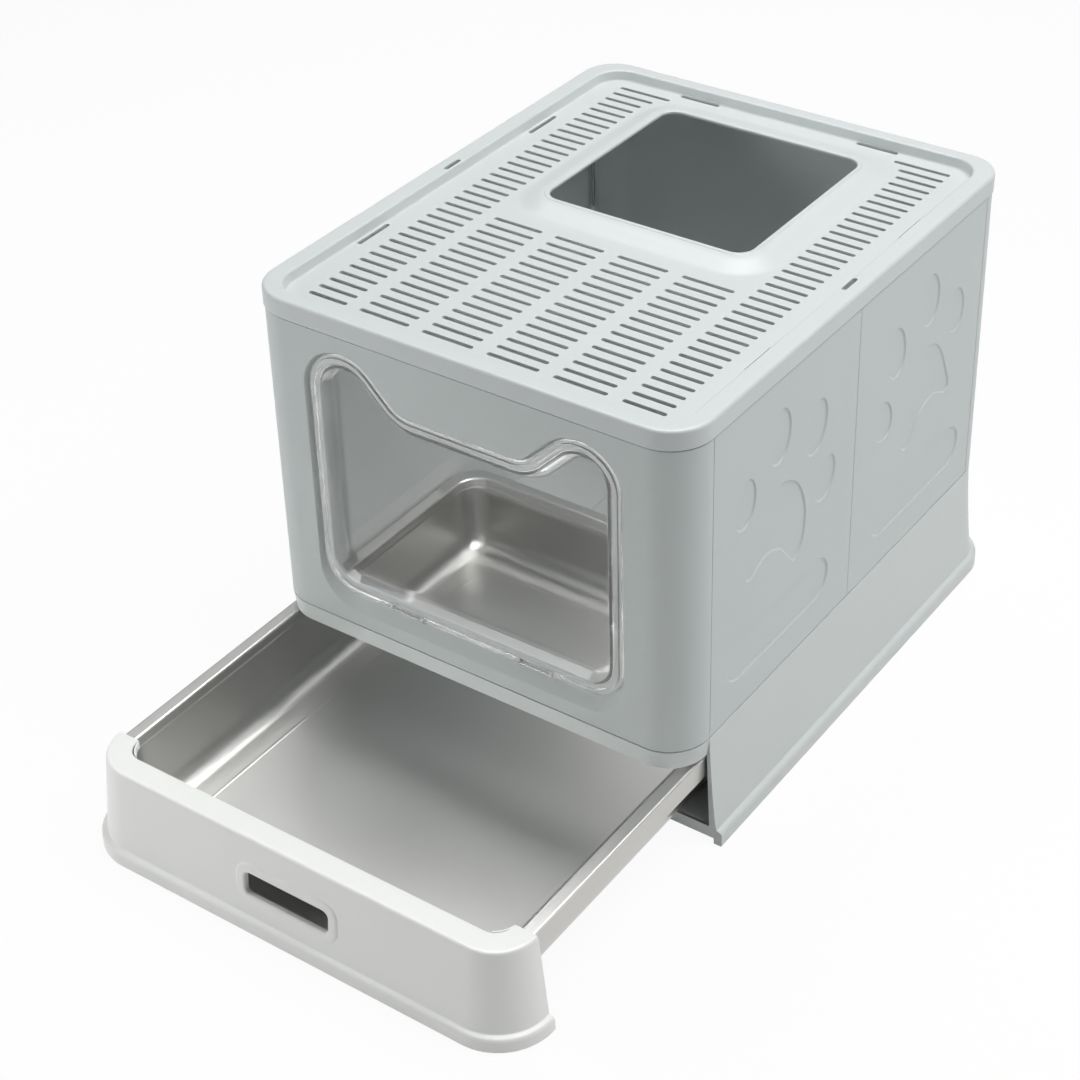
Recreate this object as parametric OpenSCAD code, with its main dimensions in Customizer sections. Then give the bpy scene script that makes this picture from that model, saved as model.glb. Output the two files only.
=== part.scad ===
// Covered litter box: a base with a pull-out steel pan, folding side walls, a clear flap and a lift-off lid.
// Millimetres, Z up, standing on the ground at Z = 0, front towards -Y.

/* [Walls] */
// Width over the side walls
body_w = 386; // [340:1:440]
// Length from the front face to the rear face
body_len = 480; // [460:1:540]
// Height of the walls above the base
wall_h = 264; // [255:1:310]
// Thickness of the wall panels
panel_t = 3; // [2.4:0.1:4]
// Radius of the upright front corners
front_r = 34; // [28:1:36]
// Radius of the upright rear corners
rear_r = 30; // [26:1:31]
// Length of the front panel's returns round the corners
front_return = 36; // [36:1:46]
// Length of the rear panel's returns round the corners
rear_return = 31; // [31:1:42]
// Gap at every seam between two panels
seam_gap = 0.6; // [0.3:0.1:1]
// Height of the lip on the walls that locates the lid
lip_h = 4.5; // [2:0.5:5]
// Thickness of that lip
lip_t = 1.5; // [1:0.1:2]

/* [Base] */
// Height of the base, up to the seam under the walls
base_h = 101; // [99:1:125]
// Height of the band that bridges the drawer opening
band_h = 16; // [12:1:18]
// Thickness of the base's walls
base_wall = 2.6; // [2:0.1:4]
// How far the base's walls lean out between the band and the foot
base_flare = 6.5; // [3:0.5:10]
// Height of the foot flange
foot_h = 14; // [8:1:16]
// How far the foot flange stands out from the foot of the wall
foot_lip = 5.5; // [2:0.5:8]
// Height of the floor's upper face
floor_top = 15; // [10:0.5:16]
// Thickness of the base's floor
floor_t = 2.4; // [1.5:0.1:4]
// Distance between the two runner ribs
runner_span = 230; // [150:5:260]
// Width of a runner rib
runner_w = 4; // [2:0.5:8]

/* [Drawer] */
// How far the drawer stands out in the rest position
drawer_out = 219; // [150:1:280]
// Width of the flat top of the drawer front
fascia_top_w = 19.5; // [18:0.5:26]
// Thickness of the drawer front's shell
fascia_t = 3; // [2:0.1:3.5]
// Thickness of the drawer front's top, which covers the pan's front rim
ledge_t = 1.8; // [1.2:0.1:3]
// Gap between the drawer front and the band above it
fascia_gap = 1; // [0.5:0.1:3]
// Width of the hand hole
hand_hole_w = 77; // [60:1:110]
// Height of the hand hole
hand_hole_h = 19.5; // [16:0.5:26]
// Height of the hand hole's centre
hand_hole_z = 43; // [38:1:48]
// Width of the raised rim round the hand hole
bezel_w = 9; // [4:0.5:12]
// Height of the raised rim round the hand hole
bezel_h = 1.6; // [1:0.1:3]
// Thickness of the pan's sheet steel
steel_t = 0.8; // [0.6:0.1:1.5]
// Depth of the pan
pan_depth = 64; // [50:1:65]
// Width of the pan's flat rim
pan_rim_w = 12; // [8:0.5:14]
// Height of the skirt turned down from the rim
pan_skirt_h = 19; // [8:0.5:24]
// Inset of the pan's walls between rim and floor
pan_draft = 7; // [2:0.5:12]
// Radius between the pan's walls and its floor
pan_fillet = 26; // [15:1:30]
// Radius of the pan's upright corners, inside at the rim
pan_corner_r = 21; // [12:1:28]
// Gap between the pan and the base's side walls
pan_gap = 0.7; // [0.4:0.1:2]
// Gap between the pan and the base's rear wall with the drawer shut
pan_rear_gap = 2.6; // [1:0.1:6]

/* [Flap] */
// Half width of the flap's recess
recess_half_w = 140; // [125:1:142]
// Radius of the recess at its two ears
ear_r = 35; // [28:1:37]
// Height of the ears' centres above the base
ear_z = 213; // [190:1:214]
// Drop of the flat between the ears, below the ears' centres
dip_drop = 1; // [0:0.5:10]
// Radius where the ears run into the flat
dip_r = 24; // [15:1:30]
// Height of the recess's lower edge above the base
recess_foot = 26.3; // [24:0.1:40]
// Radius of the recess's lower corners
recess_corner_r = 33; // [22:1:40]
// Depth of the recess
recess_depth = 5.2; // [4.8:0.1:7]
// Height of the scoop below the recess
scoop_h = 10; // [6:0.5:14]
// Gap between the flap's edge and the recess
flap_gap = 1.4; // [0.8:0.1:3]
// Thickness of the clear plastic
flap_t = 2.2; // [1.8:0.1:2.6]
// Width of the flap's flange
flange_w = 11; // [8:0.5:13]
// Depth of the flap's tray, behind the flange's front
tray_depth = 11.8; // [8:0.1:14]
// Height of the bead on the flange
bead_h = 1.6; // [0.5:0.1:2]
// Width of the bead on the flange
bead_w = 4; // [2:0.5:5]
// Distance from the middle to each flap hinge
lug_x = 60; // [40:1:90]
// Length of each knuckle of the flap
lug_len = 26; // [16:1:36]
// Diameter of the flap's hinge pins
flap_pin_d = 2; // [1.5:0.1:2.4]

/* [Paw relief] */
// Depth of the relief in the side walls
relief_d = 1.2; // [0.6:0.1:1.8]
// Scale of the paw
paw_size = 1; // [0.7:0.05:1.05]
// Length of the long recess under the paw
pill_len = 149; // [80:1:170]
// Width of the long recess under the paw
pill_w = 37; // [15:1:44]
// Height of the long recess's centre above the base
pill_z = 48; // [36:1:52]

/* [Wall hinges] */
// Diameter of the four upright hinge rods
rod_d = 3; // [2:0.1:4]
// Radius of the hinge knuckles
knuckle_r = 3.9; // [3.5:0.1:5]
// Gap between a knuckle and the panel that folds over it
knuckle_gap = 0.3; // [0.2:0.1:1]
// Gap between a left wall and a right wall that folds over it
stack_gap = 1; // [0.5:0.1:3]
// Height of the knuckle on a folding wall
knuckle_h = 14; // [10:1:24]
// Height of each fixed knuckle, above and below the folding one
fixed_h = 11; // [8:1:16]
// Distance between two hinges on one rod
hinge_pitch = 93; // [60:1:95]
// Diameter of the four short pins at the foot of the front and rear panels
foot_pin_d = 3.6; // [3:0.1:5]

/* [Lid] */
// How far the lid stands out past the walls
lid_over = 1; // [0.5:0.1:2]
// Height of the lid above the seam
lid_h = 16.5; // [16:0.5:22]
// Thickness of the lid's skirt, rim and floor
lid_t = 2.2; // [1.6:0.1:2.3]
// Width of the rim along the sides
rim_side = 16.5; // [14:0.5:20]
// Width of the rim at the front and rear
rim_end = 13.5; // [11:0.5:15]
// Depth of the lid's floor below its rim
lid_sink = 9; // [6:0.5:9]
// Corner radius of the lid's floor
lid_floor_r = 23; // [15:1:28]
// Width and length of the opening in the lid
hatch = 185; // [150:1:190]
// Distance from the opening's centre to the rear face
hatch_back = 145; // [140:1:160]
// Corner radius of the opening
hatch_r = 14; // [8:1:24]
// Height of the opening's rim above the lid's floor
hatch_rise = 6.4; // [3:0.1:8]
// Width of the slope round the opening
hatch_slope = 26; // [15:1:27]
// Distance from the rear face to the last row of slots
slot_back = 28; // [26:0.5:32]
// Distance between two rows of slots
slot_pitch = 12.2; // [11:0.1:14]
// Width of a slot
slot_w = 3.2; // [2:0.1:3.9]
// Length of a slot in the two outer columns
slot_outer_len = 36; // [25:0.5:36]
// Length of a slot in the four inner columns
slot_inner_len = 45; // [30:0.5:50]

/* [View] */
// Which sub-part to show

/* [Hidden] */
$fn = 64;

housing_grey = "#c3c9c9";
wall_grey = "#bdc3c3";
lid_grey = "#dfe3e3";
front_white = "#eceeeb";
steel = "#b9bcb9";
pin_steel = "#9ea2a4";
clear = [0.85, 0.92, 0.95, 0.4];

// small overlaps, seats and fits
sliver = 0.01;
seat_gap = 0.3;
pin_fit = 0.05;
turn_fit = 0.08;
side_play = 0.4;
ground_gap = 1;
slice_sides = 32;

half_w = body_w / 2;
foot_reach = base_flare + foot_lip;
seam_z = base_h + wall_h;
rim_z = seam_z + lid_h;
lid_floor_z = rim_z - lid_sink;
band_z = base_h - band_h;
lean = base_flare / (band_z - foot_h);
front_seam_y = front_return;
rear_seam_y = body_len - rear_return;
mid_seam_y = (front_seam_y + rear_seam_y) / 2;
wall_foot_z = base_h + seat_gap;
// the origin is under the middle of the model's box with the drawer at rest
front_y = (drawer_out - body_len) / 2;

fascia_top_z = band_z - fascia_gap;
pan_top_z = fascia_top_z - ledge_t - 0.2;
pan_foot_z = pan_top_z - pan_depth - steel_t;
pan_half_w = half_w - base_wall - pan_gap;
pan_front_y = fascia_t + 0.6;
pan_rear_y = body_len - base_wall - pan_rear_gap;
tub_front_y = fascia_top_w - 1;
tub_rear_y = pan_rear_y - pan_rim_w;
tub_half_w = pan_half_w - pan_rim_w;

flange_y = recess_depth - seat_gap - flap_t;
flap_axis_y = flange_y + flap_t / 2;
lug_r = flap_t / 2 + 1.3;
flap_axis_z = base_h + recess_foot + lug_r + 0.5;
lug_wall = 3;
tray_inset = flap_gap + flange_w - flap_t;
hole_inset = tray_inset - 0.6;

// a rectangle with corner radius r0 at its front and r1 at its rear
module rounded_box(half, y0, y1, r0, r1) {
    translate([-half, y0 + r0]) square([2 * half, y1 - y0 - r0 - r1]);
    translate([r0 - half, y0]) square([2 * (half - r0), r0 + sliver]);
    translate([r1 - half, y1 - r1 - sliver]) square([2 * (half - r1), r1 + sliver]);
    for (s = [-1, 1]) {
        translate([s * (half - r0), y0 + r0]) circle(r0);
        translate([s * (half - r1), y1 - r1]) circle(r1);
    }
}

// the walls' outline seen from above, grown outwards by grow
module plan(grow = 0) {
    rounded_box(half_w + grow, -grow, body_len + grow, front_r + grow, rear_r + grow);
}

module plan_ring(outer, inner) {
    difference() {
        plan(outer);
        plan(inner);
    }
}

// a thin slice of the walls' outline at height z
module plan_slice(z, grow) {
    translate([0, 0, z]) linear_extrude(sliver) plan(grow, $fn = slice_sides);
}

// the form that leans out between the band and the foot, grown outwards by grow
module leaning_form(z0, z1, grow) {
    hull() {
        plan_slice(z0, grow + (band_z - z0) * lean);
        plan_slice(z1 - sliver, grow + (band_z - z1) * lean);
    }
}

// the foot flange, with its sloping upper edge
module foot_form() {
    slope = foot_lip * 0.8;
    linear_extrude(foot_h - slope) plan(foot_reach);
    hull() {
        plan_slice(foot_h - slope - sliver, foot_reach);
        plan_slice(foot_h, base_flare + foot_lip * 0.2);
    }
}

module in_frame() {
    translate([0, front_y, 0]) children();
}

module drawer_frame() {
    translate([0, front_y - drawer_out, 0]) children();
}

// mirrors its children from the right side to the left where side is -1
module on_side(side) {
    mirror([side < 0 ? 1 : 0, 0, 0]) children();
}

// mirrors its children from the front half to the rear half
module on_half(rear) {
    translate([0, rear ? front_seam_y + rear_seam_y : 0, 0]) mirror([0, rear ? 1 : 0, 0]) children();
}

// a plate of thickness t that stands in X and Z, with its front at y and its foot at the base's top
module upright(y, t) {
    translate([0, y + t, base_h]) rotate([90, 0, 0]) linear_extrude(t) children();
}

// a bar along X
module bar(x0, x1, y, z, r) {
    translate([x0, y, z]) rotate([0, 90, 0]) cylinder(h = x1 - x0, r = r);
}

// Outline of the flap and its recess, with two ears joined by a flat
function arc(cx, cy, r, a0, a1, n) =
    [for (i = [0 : n]) let (a = a0 + (a1 - a0) * i / n) [cx + r * cos(a), cy + r * sin(a)]];

// the right half of the outline, d inside the recess's edge, with its foot lowered by drop
function ear_half(d, drop) = let (
    ear_x = recess_half_w - ear_r,
    dip_z = ear_z - dip_drop - d,
    slope_z = ear_z - ear_x + (ear_r - d) * sqrt(2),
    fillet = dip_r + d,
    fillet_x = dip_z - slope_z - fillet * (sqrt(2) - 1),
    corner = recess_corner_r - d,
    foot_z = recess_foot + d - drop)
    concat(arc(recess_half_w - recess_corner_r, foot_z + corner, corner, -90, 0, 10),
           arc(ear_x, ear_z, ear_r - d, 0, 135, 18),
           arc(fillet_x, dip_z + fillet, fillet, -45, -90, 6));

function cat_points(d, drop = 0) = let (right = ear_half(d, drop), n = len(right))
    concat(right, [for (i = [n - 1 : -1 : 0]) [-right[i][0], right[i][1]]]);

module cat_outline(d) {
    polygon(cat_points(d));
}

// the recess, with a scoop whose floor slopes down to the face
module recess_cut() {
    upright(-1, recess_depth + 1) cat_outline(0);
    intersection() {
        upright(-1, recess_depth + 1) polygon(cat_points(0, scoop_h));
        translate([-half_w, 0, base_h + recess_foot]) rotate([90, 0, 90]) linear_extrude(body_w)
            polygon([[recess_depth, 0], [recess_depth, recess_foot], [-1, recess_foot],
                     [-1, -scoop_h * (recess_depth + 1) / recess_depth]]);
    }
}

// places its children at the two ends of each flap hinge
module at_flap_ears() {
    for (s = [-1, 1], e = [-1, 1])
        translate([s * lug_x + e * (lug_len + lug_wall + 2 * side_play) / 2, 0, 0]) children();
}

// Hinges of the folding walls
hinge_low = (wall_h - 2 * hinge_pitch) / 2 + 1;
hinge_heights = [for (i = [0 : 2]) base_h + hinge_low + i * hinge_pitch];
rod_foot_z = hinge_heights[0] - knuckle_h / 2 - fixed_h - 2;
rod_head_z = hinge_heights[2] + knuckle_h / 2 + fixed_h + 2;
function hinge_inset(side) = knuckle_r + knuckle_gap + (side > 0 ? panel_t + stack_gap : 0);
function hinge_x(side) = half_w - panel_t - hinge_inset(side);

module knuckle(z, h, side, web_y, web_w) {
    translate([hinge_x(side), front_seam_y, z]) linear_extrude(h) difference() {
        union() {
            circle(knuckle_r);
            translate([0, web_y]) square([hinge_inset(side) + 1, web_w]);
        }
        circle(rod_d / 2 + turn_fit);
    }
}

module fixed_knuckles(side) {
    for (z = hinge_heights, up = [-1, 1])
        knuckle(z + up * (knuckle_h + fixed_h + 2 * side_play) / 2 - fixed_h / 2, fixed_h, side,
                -knuckle_r, knuckle_r - seam_gap / 2);
}

module folding_knuckles(side) {
    for (z = hinge_heights)
        knuckle(z - knuckle_h / 2, knuckle_h, side, seam_gap / 2, knuckle_r - seam_gap / 2);
}

module hinge_rod(side, rear) {
    color(pin_steel) in_frame() on_side(side) on_half(rear)
        translate([hinge_x(side), front_seam_y, rod_foot_z])
            cylinder(h = rod_head_z - rod_foot_z, r = rod_d / 2);
}

// Pins at the foot of the front and rear panels
foot_pin_z = base_h + 7;
foot_pin_setback = 6.5;
foot_boss_half = 5;
foot_boss_top = 12;
foot_lug_x = half_w - panel_t - 4.3;
foot_lug_w = 6;
foot_pin_x = half_w - panel_t - 1.2;

module panel_foot_boss() {
    y = front_seam_y - foot_pin_setback;
    translate([foot_lug_x + seat_gap, y - foot_boss_half, wall_foot_z])
        cube([half_w - panel_t - 0.5 - foot_lug_x - seat_gap, 2 * foot_boss_half, foot_boss_top]);
}

module foot_pin_hole() {
    bar(foot_lug_x - foot_lug_w - 1, foot_pin_x + 0.2, front_seam_y - foot_pin_setback, foot_pin_z,
        foot_pin_d / 2 + pin_fit);
}

module base_foot_lug() {
    y = front_seam_y - foot_pin_setback - foot_boss_half;
    depth = 2 * foot_boss_half;
    translate([foot_lug_x - foot_lug_w, y, base_h - band_h / 2])
        cube([foot_lug_w, depth, band_h / 2 + foot_boss_top]);
    translate([foot_lug_x - sliver, y, base_h - band_h / 2])
        cube([half_w - base_wall + 0.5 - foot_lug_x, depth, band_h / 2]);
}

module foot_pin(side, rear) {
    color(pin_steel) in_frame() on_side(side) on_half(rear)
        bar(foot_lug_x - foot_lug_w, foot_pin_x, front_seam_y - foot_pin_setback, foot_pin_z, foot_pin_d / 2);
}

module base_housing() {
    color(housing_grey) in_frame() difference() {
        union() {
            foot_form();
            leaning_form(foot_h - 1, band_z, 0);
            translate([0, 0, band_z - sliver]) linear_extrude(band_h + sliver) plan();
        }
        difference() {
            union() {
                leaning_form(-1, band_z, -base_wall);
                translate([0, 0, band_z - 2 * sliver]) linear_extrude(band_h + 1) plan(-base_wall);
            }
            base_floor();
            for (side = [-1, 1], rear = [false, true]) on_side(side) on_half(rear) base_foot_lug();
        }
        translate([-half_w - foot_reach - 1, -foot_reach - 1, -1])
            cube([body_w + 2 * foot_reach + 2, foot_reach + 1 + front_seam_y, band_z + 1]);
        for (side = [-1, 1], rear = [false, true]) on_side(side) on_half(rear) foot_pin_hole();
    }
}

module base_floor() {
    translate([-body_w, 0, floor_top - floor_t]) cube([2 * body_w, body_len * 2, floor_t]);
    for (s = [-1, 1])
        translate([s * runner_span / 2 - runner_w / 2, front_seam_y, floor_top - sliver])
            cube([runner_w, pan_rear_y - front_seam_y, pan_foot_z - seat_gap - floor_top + sliver]);
}

// the part of the walls' ring that belongs to the front panel
module front_part(outer, inner) {
    intersection() {
        plan_ring(outer, inner);
        translate([-half_w - 1, -1]) square([body_w + 2, front_seam_y - seam_gap / 2 + 1]);
    }
}

module rear_part(outer, inner) {
    intersection() {
        plan_ring(outer, inner);
        translate([-half_w - 1, rear_seam_y + seam_gap / 2]) square([body_w + 2, rear_return + 1]);
    }
}

// tongues on a panel that stand in the lid's end slots
tongue_x = 85;
tongue_w = 34;
tongue_t = 1.6;
clip_slot_w = 2.6;
clip_slot_len = 38;
clip_inset = 15;
side_clip_inset = 20;

module lid_tongues() {
    for (s = [-1, 1]) translate([s * tongue_x - tongue_w / 2, 0, 0]) {
        translate([0, panel_t - 0.5, seam_z - 8]) cube([tongue_w, clip_inset - panel_t + 0.5, tongue_t]);
        translate([0, clip_inset - tongue_t / 2, seam_z - 8])
            cube([tongue_w, tongue_t, 8 + lid_h - lid_sink - 0.5]);
    }
}

module front_panel() {
    color(wall_grey) in_frame() difference() {
        union() {
            translate([0, 0, wall_foot_z]) linear_extrude(wall_h - seat_gap) front_part(0, -panel_t);
            translate([0, 0, seam_z - 1]) linear_extrude(lip_h + 1) front_part(lip_t - panel_t, -panel_t);
            upright(panel_t / 2, recess_depth + panel_t / 2)
                polygon(cat_points(-panel_t, scoop_h));
            lid_tongues();
            for (side = [-1, 1]) on_side(side) {
                fixed_knuckles(side);
                panel_foot_boss();
            }
        }
        difference() {
            union() {
                recess_cut();
                upright(0, recess_depth + panel_t + 1) cat_outline(hole_inset);
                for (s = [-1, 1])
                    bar(s * lug_x - lug_len / 2 - side_play, s * lug_x + lug_len / 2 + side_play,
                        flap_axis_y, flap_axis_z, lug_r + 0.35);
            }
            at_flap_ears() {
                bar(-lug_wall / 2, lug_wall / 2, flap_axis_y, flap_axis_z, lug_r);
                translate([-lug_wall / 2, flap_axis_y, flap_axis_z - lug_r - 2])
                    cube([lug_wall, recess_depth + 0.5 - flap_axis_y, lug_r + 2]);
            }
        }
        at_flap_ears() bar(-lug_wall, lug_wall, flap_axis_y, flap_axis_z, flap_pin_d / 2 + pin_fit);
        for (side = [-1, 1]) on_side(side) foot_pin_hole();
    }
}

module rear_panel() {
    color(wall_grey) in_frame() difference() {
        union() {
            translate([0, 0, wall_foot_z]) linear_extrude(wall_h - seat_gap) rear_part(0, -panel_t);
            translate([0, 0, seam_z - 1]) linear_extrude(lip_h + 1) rear_part(lip_t - panel_t, -panel_t);
            translate([0, body_len, 0]) mirror([0, 1, 0]) lid_tongues();
            for (side = [-1, 1]) on_side(side) on_half(true) {
                fixed_knuckles(side);
                panel_foot_boss();
            }
        }
        for (side = [-1, 1]) on_side(side) on_half(true) foot_pin_hole();
    }
}

// Relief of the side walls, drawn in Y and Z
function oval(cy, cz, w, h, tilt) = [for (a = [0 : 12 : 348]) let (u = w / 2 * cos(a), v = h / 2 * sin(a))
    [cy + u * cos(tilt) - v * sin(tilt), cz + u * sin(tilt) + v * cos(tilt)]];

// a smooth closed curve through the points of p
function smooth_loop(p, steps = 5) = let (n = len(p))
    [for (i = [0 : n - 1], k = [0 : steps - 1]) let (
        t = k / steps,
        a = p[(i + n - 1) % n], b = p[i], c = p[(i + 1) % n], d = p[(i + 2) % n])
        0.5 * (2 * b + (c - a) * t + (2 * a - 5 * b + 4 * c - d) * t * t
               + (3 * b - a - 3 * c + d) * t * t * t)];

// the paw, about its own middle
paw_mid = [136, 150];
toes = [[80, 182, 28, 40, -8], [127, 214, 30, 45, -4], [181, 193, 30, 45, -12], [197, 139, 28, 37, -22]];
pad = [[113, 167], [132, 171], [155, 158], [168, 130], [166, 103], [155, 90],
       [146, 98], [132, 113], [113, 119], [99, 115], [90, 111], [84, 116], [91, 135], [101, 155]];

module paw() {
    for (t = toes) polygon(oval(t[0] - paw_mid[0], t[1] - paw_mid[1], t[2], t[3], t[4]));
    polygon(smooth_loop([for (p = pad) p - paw_mid]));
}

module pill(length, w) {
    translate([-(length - w) / 2, -w / 2]) square([length - w, w]);
    for (s = [-1, 1]) translate([s * (length - w) / 2, 0]) circle(w / 2);
}

module relief_cut() {
    translate([half_w + 1, 0, base_h]) rotate([90, 0, -90]) mirror([1, 0, 0]) linear_extrude(relief_d + 1) {
        translate([mid_seam_y - 106.5, wall_h - 114]) scale(paw_size) paw();
        translate([mid_seam_y - 109.5, pill_z]) pill(pill_len, pill_w);
    }
}

module side_wall(side, rear) {
    length = mid_seam_y - front_seam_y - seam_gap;
    color(wall_grey) in_frame() on_side(side) on_half(rear) difference() {
        union() {
            translate([half_w - panel_t, front_seam_y + seam_gap / 2, wall_foot_z])
                cube([panel_t, length, wall_h - seat_gap]);
            translate([half_w - panel_t, front_seam_y + seam_gap / 2, seam_z - 1])
                cube([lip_t, length, lip_h + 1]);
            folding_knuckles(side);
        }
        relief_cut();
    }
}

// Lid
hatch_y = body_len - hatch_back;
hatch_lip = 4;
lid_half_w = half_w + lid_over;
slot_outer_x = lid_half_w - rim_side - 20;
slot_column_gap = 12.4;
slot_rows = floor((body_len - slot_back - rim_end - 22) / slot_pitch) + 1;
inner_front_y = body_len - slot_back - (slot_rows - 1) * slot_pitch;
inner_rows = floor((hatch_y - hatch / 2 - hatch_slope - 6 - inner_front_y) / slot_pitch) + 1;
side_clip_y = 114;

module lid_floor_outline(grow = 0) {
    rounded_box(lid_half_w - rim_side + grow, rim_end - lid_over - grow, body_len + lid_over - rim_end + grow,
                lid_floor_r + grow, lid_floor_r + grow);
}

module hatch_outline(grow = 0) {
    half = hatch / 2 + grow;
    translate([0, hatch_y]) rounded_box(half, -half, half, hatch_r + grow, hatch_r + grow);
}

module hatch_slice(z, grow) {
    translate([0, 0, z]) linear_extrude(sliver) hatch_outline(grow, $fn = slice_sides);
}

// the platform that rises round the opening
module hatch_platform(drop) {
    hull() {
        hatch_slice(lid_floor_z - drop - sliver, hatch_slope);
        hatch_slice(lid_floor_z - drop + hatch_rise - sliver, hatch_lip);
    }
}

// a slot from x0 to x1 with round ends
module slot(x0, x1, y) {
    translate([(x0 + x1) / 2, y]) pill(abs(x1 - x0), slot_w);
}

module slots() {
    last = slot_rows - 1;
    for (row = [0 : last]) {
        y = inner_front_y + row * slot_pitch;
        reach = row == last ? 14 : row == last - 1 ? 4 : 0;
        for (s = [-1, 1]) slot(s * (slot_outer_x - slot_outer_len - reach), s * slot_outer_x, y);
    }
    for (row = [0 : inner_rows - 1], s = [-1, 1], column = [0, 1]) {
        x = slot_column_gap / 2 + column * (slot_inner_len + slot_column_gap);
        slot(s * x, s * (x + slot_inner_len), inner_front_y + row * slot_pitch);
    }
}

module clip_slots() {
    for (s = [-1, 1]) {
        for (y = [clip_inset, body_len - clip_inset])
            translate([s * tongue_x - clip_slot_len / 2, y - clip_slot_w / 2])
                square([clip_slot_len, clip_slot_w]);
        for (y = [mid_seam_y - side_clip_y, mid_seam_y + side_clip_y])
            translate([s * (half_w - side_clip_inset) - clip_slot_w / 2, y - clip_slot_len / 2])
                square([clip_slot_w, clip_slot_len]);
        translate([s * (lid_half_w - rim_side / 2 - 4) - 2, mid_seam_y - 10]) square([4, 20]);
    }
}

module lid() {
    color(lid_grey) in_frame() difference() {
        union() {
            translate([0, 0, seam_z + seat_gap]) linear_extrude(lid_h - seat_gap)
                plan_ring(lid_over, lid_over - lid_t);
            translate([0, 0, rim_z - lid_t]) linear_extrude(lid_t) difference() {
                plan(lid_over - sliver);
                lid_floor_outline();
            }
            translate([0, 0, lid_floor_z - lid_t]) linear_extrude(lid_sink + sliver) difference() {
                lid_floor_outline(lid_t);
                lid_floor_outline();
            }
            translate([0, 0, lid_floor_z - lid_t]) linear_extrude(lid_t) lid_floor_outline(sliver);
            hatch_platform(0);
        }
        difference() {
            hatch_platform(lid_t);
            translate([0, 0, lid_floor_z - lid_t - 1]) linear_extrude(hatch_rise + 2) difference() {
                hatch_outline(lid_t);
                hatch_outline();
            }
        }
        translate([0, 0, lid_floor_z - lid_t - 1]) linear_extrude(hatch_rise + lid_t + 2) hatch_outline();
        translate([0, 0, lid_floor_z - lid_t - 1]) linear_extrude(lid_sink + lid_t + 2) {
            slots();
            clip_slots();
        }
    }
}

module clear_flap() {
    bead_inset = flap_gap + 1.6;
    color(clear) in_frame() difference() {
        union() {
            difference() {
                union() {
                    upright(flange_y, flap_t) cat_outline(flap_gap);
                    upright(flange_y - bead_h, bead_h + sliver) difference() {
                        cat_outline(bead_inset);
                        cat_outline(bead_inset + bead_w);
                    }
                    upright(flange_y, tray_depth) cat_outline(tray_inset);
                }
                upright(flange_y - 1, tray_depth - flap_t + 1) cat_outline(tray_inset + flap_t);
                translate([-half_w, -10, flap_axis_z - 10]) cube([body_w, 30, 10]);
            }
            for (s = [-1, 1])
                bar(s * lug_x - lug_len / 2, s * lug_x + lug_len / 2, flap_axis_y, flap_axis_z, lug_r);
        }
        at_flap_ears()
            bar(-lug_wall / 2 - side_play, lug_wall / 2 + side_play, flap_axis_y, flap_axis_z, lug_r + 0.4);
        for (s = [-1, 1])
            bar(s * lug_x - lug_len, s * lug_x + lug_len, flap_axis_y, flap_axis_z, flap_pin_d / 2 + turn_fit);
    }
}

module flap_pin(side) {
    reach = lug_len / 2 + side_play + lug_wall;
    color(pin_steel) in_frame()
        bar(side * lug_x - reach, side * lug_x + reach, flap_axis_y, flap_axis_z, flap_pin_d / 2);
}

// Drawer
module hand_hole(grow, depth) {
    r = 5 + grow;
    w = hand_hole_w + 2 * grow;
    h = hand_hole_h + 2 * grow;
    translate([0, (hand_hole_z - band_z) * lean, hand_hole_z]) rotate([90 - atan(lean), 0, 0])
        translate([0, 0, -depth]) linear_extrude(depth + bezel_h)
            translate([0, -h / 2]) rounded_box(w / 2, 0, h, r, r);
}

module drawer_front() {
    end_y = front_seam_y - seam_gap;
    color(front_white) drawer_frame() difference() {
        union() {
            difference() {
                union() {
                    foot_form();
                    leaning_form(foot_h - 1, fascia_top_z, 0);
                }
                leaning_form(-1, fascia_top_z - ledge_t, -fascia_t);
                translate([0, 0, fascia_top_z - ledge_t - 1]) linear_extrude(ledge_t + 2)
                    rounded_box(half_w - fascia_top_w, fascia_top_w, body_len, front_r - fascia_top_w + 6, 6);
            }
            hand_hole(bezel_w, fascia_t);
            snap_hooks();
        }
        hand_hole(0, 2 * fascia_t + bezel_h + 2);
        translate([-body_w, end_y, -1]) cube([2 * body_w, 2 * body_len, base_h]);
        translate([-body_w, -body_w, -1]) cube([2 * body_w, 2 * body_w, 1 + ground_gap]);
    }
}

// two hooks inside the drawer front that hold the lower edge of the pan's skirt
module snap_hooks() {
    for (s = [-1, 1])
        translate([s * 120 - 10, 0, pan_top_z - pan_skirt_h - seat_gap - 3]) cube([20, pan_front_y + 4, 3]);
}

// the pan's form from z_top down, with its walls moved inwards by inset
module tub(z_top, inset) {
    r = pan_fillet - inset;
    x = tub_half_w - pan_draft - pan_fillet;
    y0 = tub_front_y + pan_draft + pan_fillet;
    y1 = tub_rear_y - pan_draft - pan_fillet;
    hull() {
        translate([0, 0, z_top - sliver]) linear_extrude(sliver)
            rounded_box(tub_half_w - inset, tub_front_y + inset, tub_rear_y - inset,
                        pan_corner_r - inset, pan_corner_r - inset, $fn = slice_sides);
        for (s = [-1, 1], y = [y0, y1])
            translate([s * x, y, pan_top_z - pan_depth + pan_fillet]) sphere(r, $fn = slice_sides);
    }
}

module pan_rim(grow) {
    rounded_box(pan_half_w + grow, pan_front_y - grow, pan_rear_y + grow,
                front_r - pan_front_y + grow, rear_r - base_wall - pan_rear_gap + grow);
}

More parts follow.
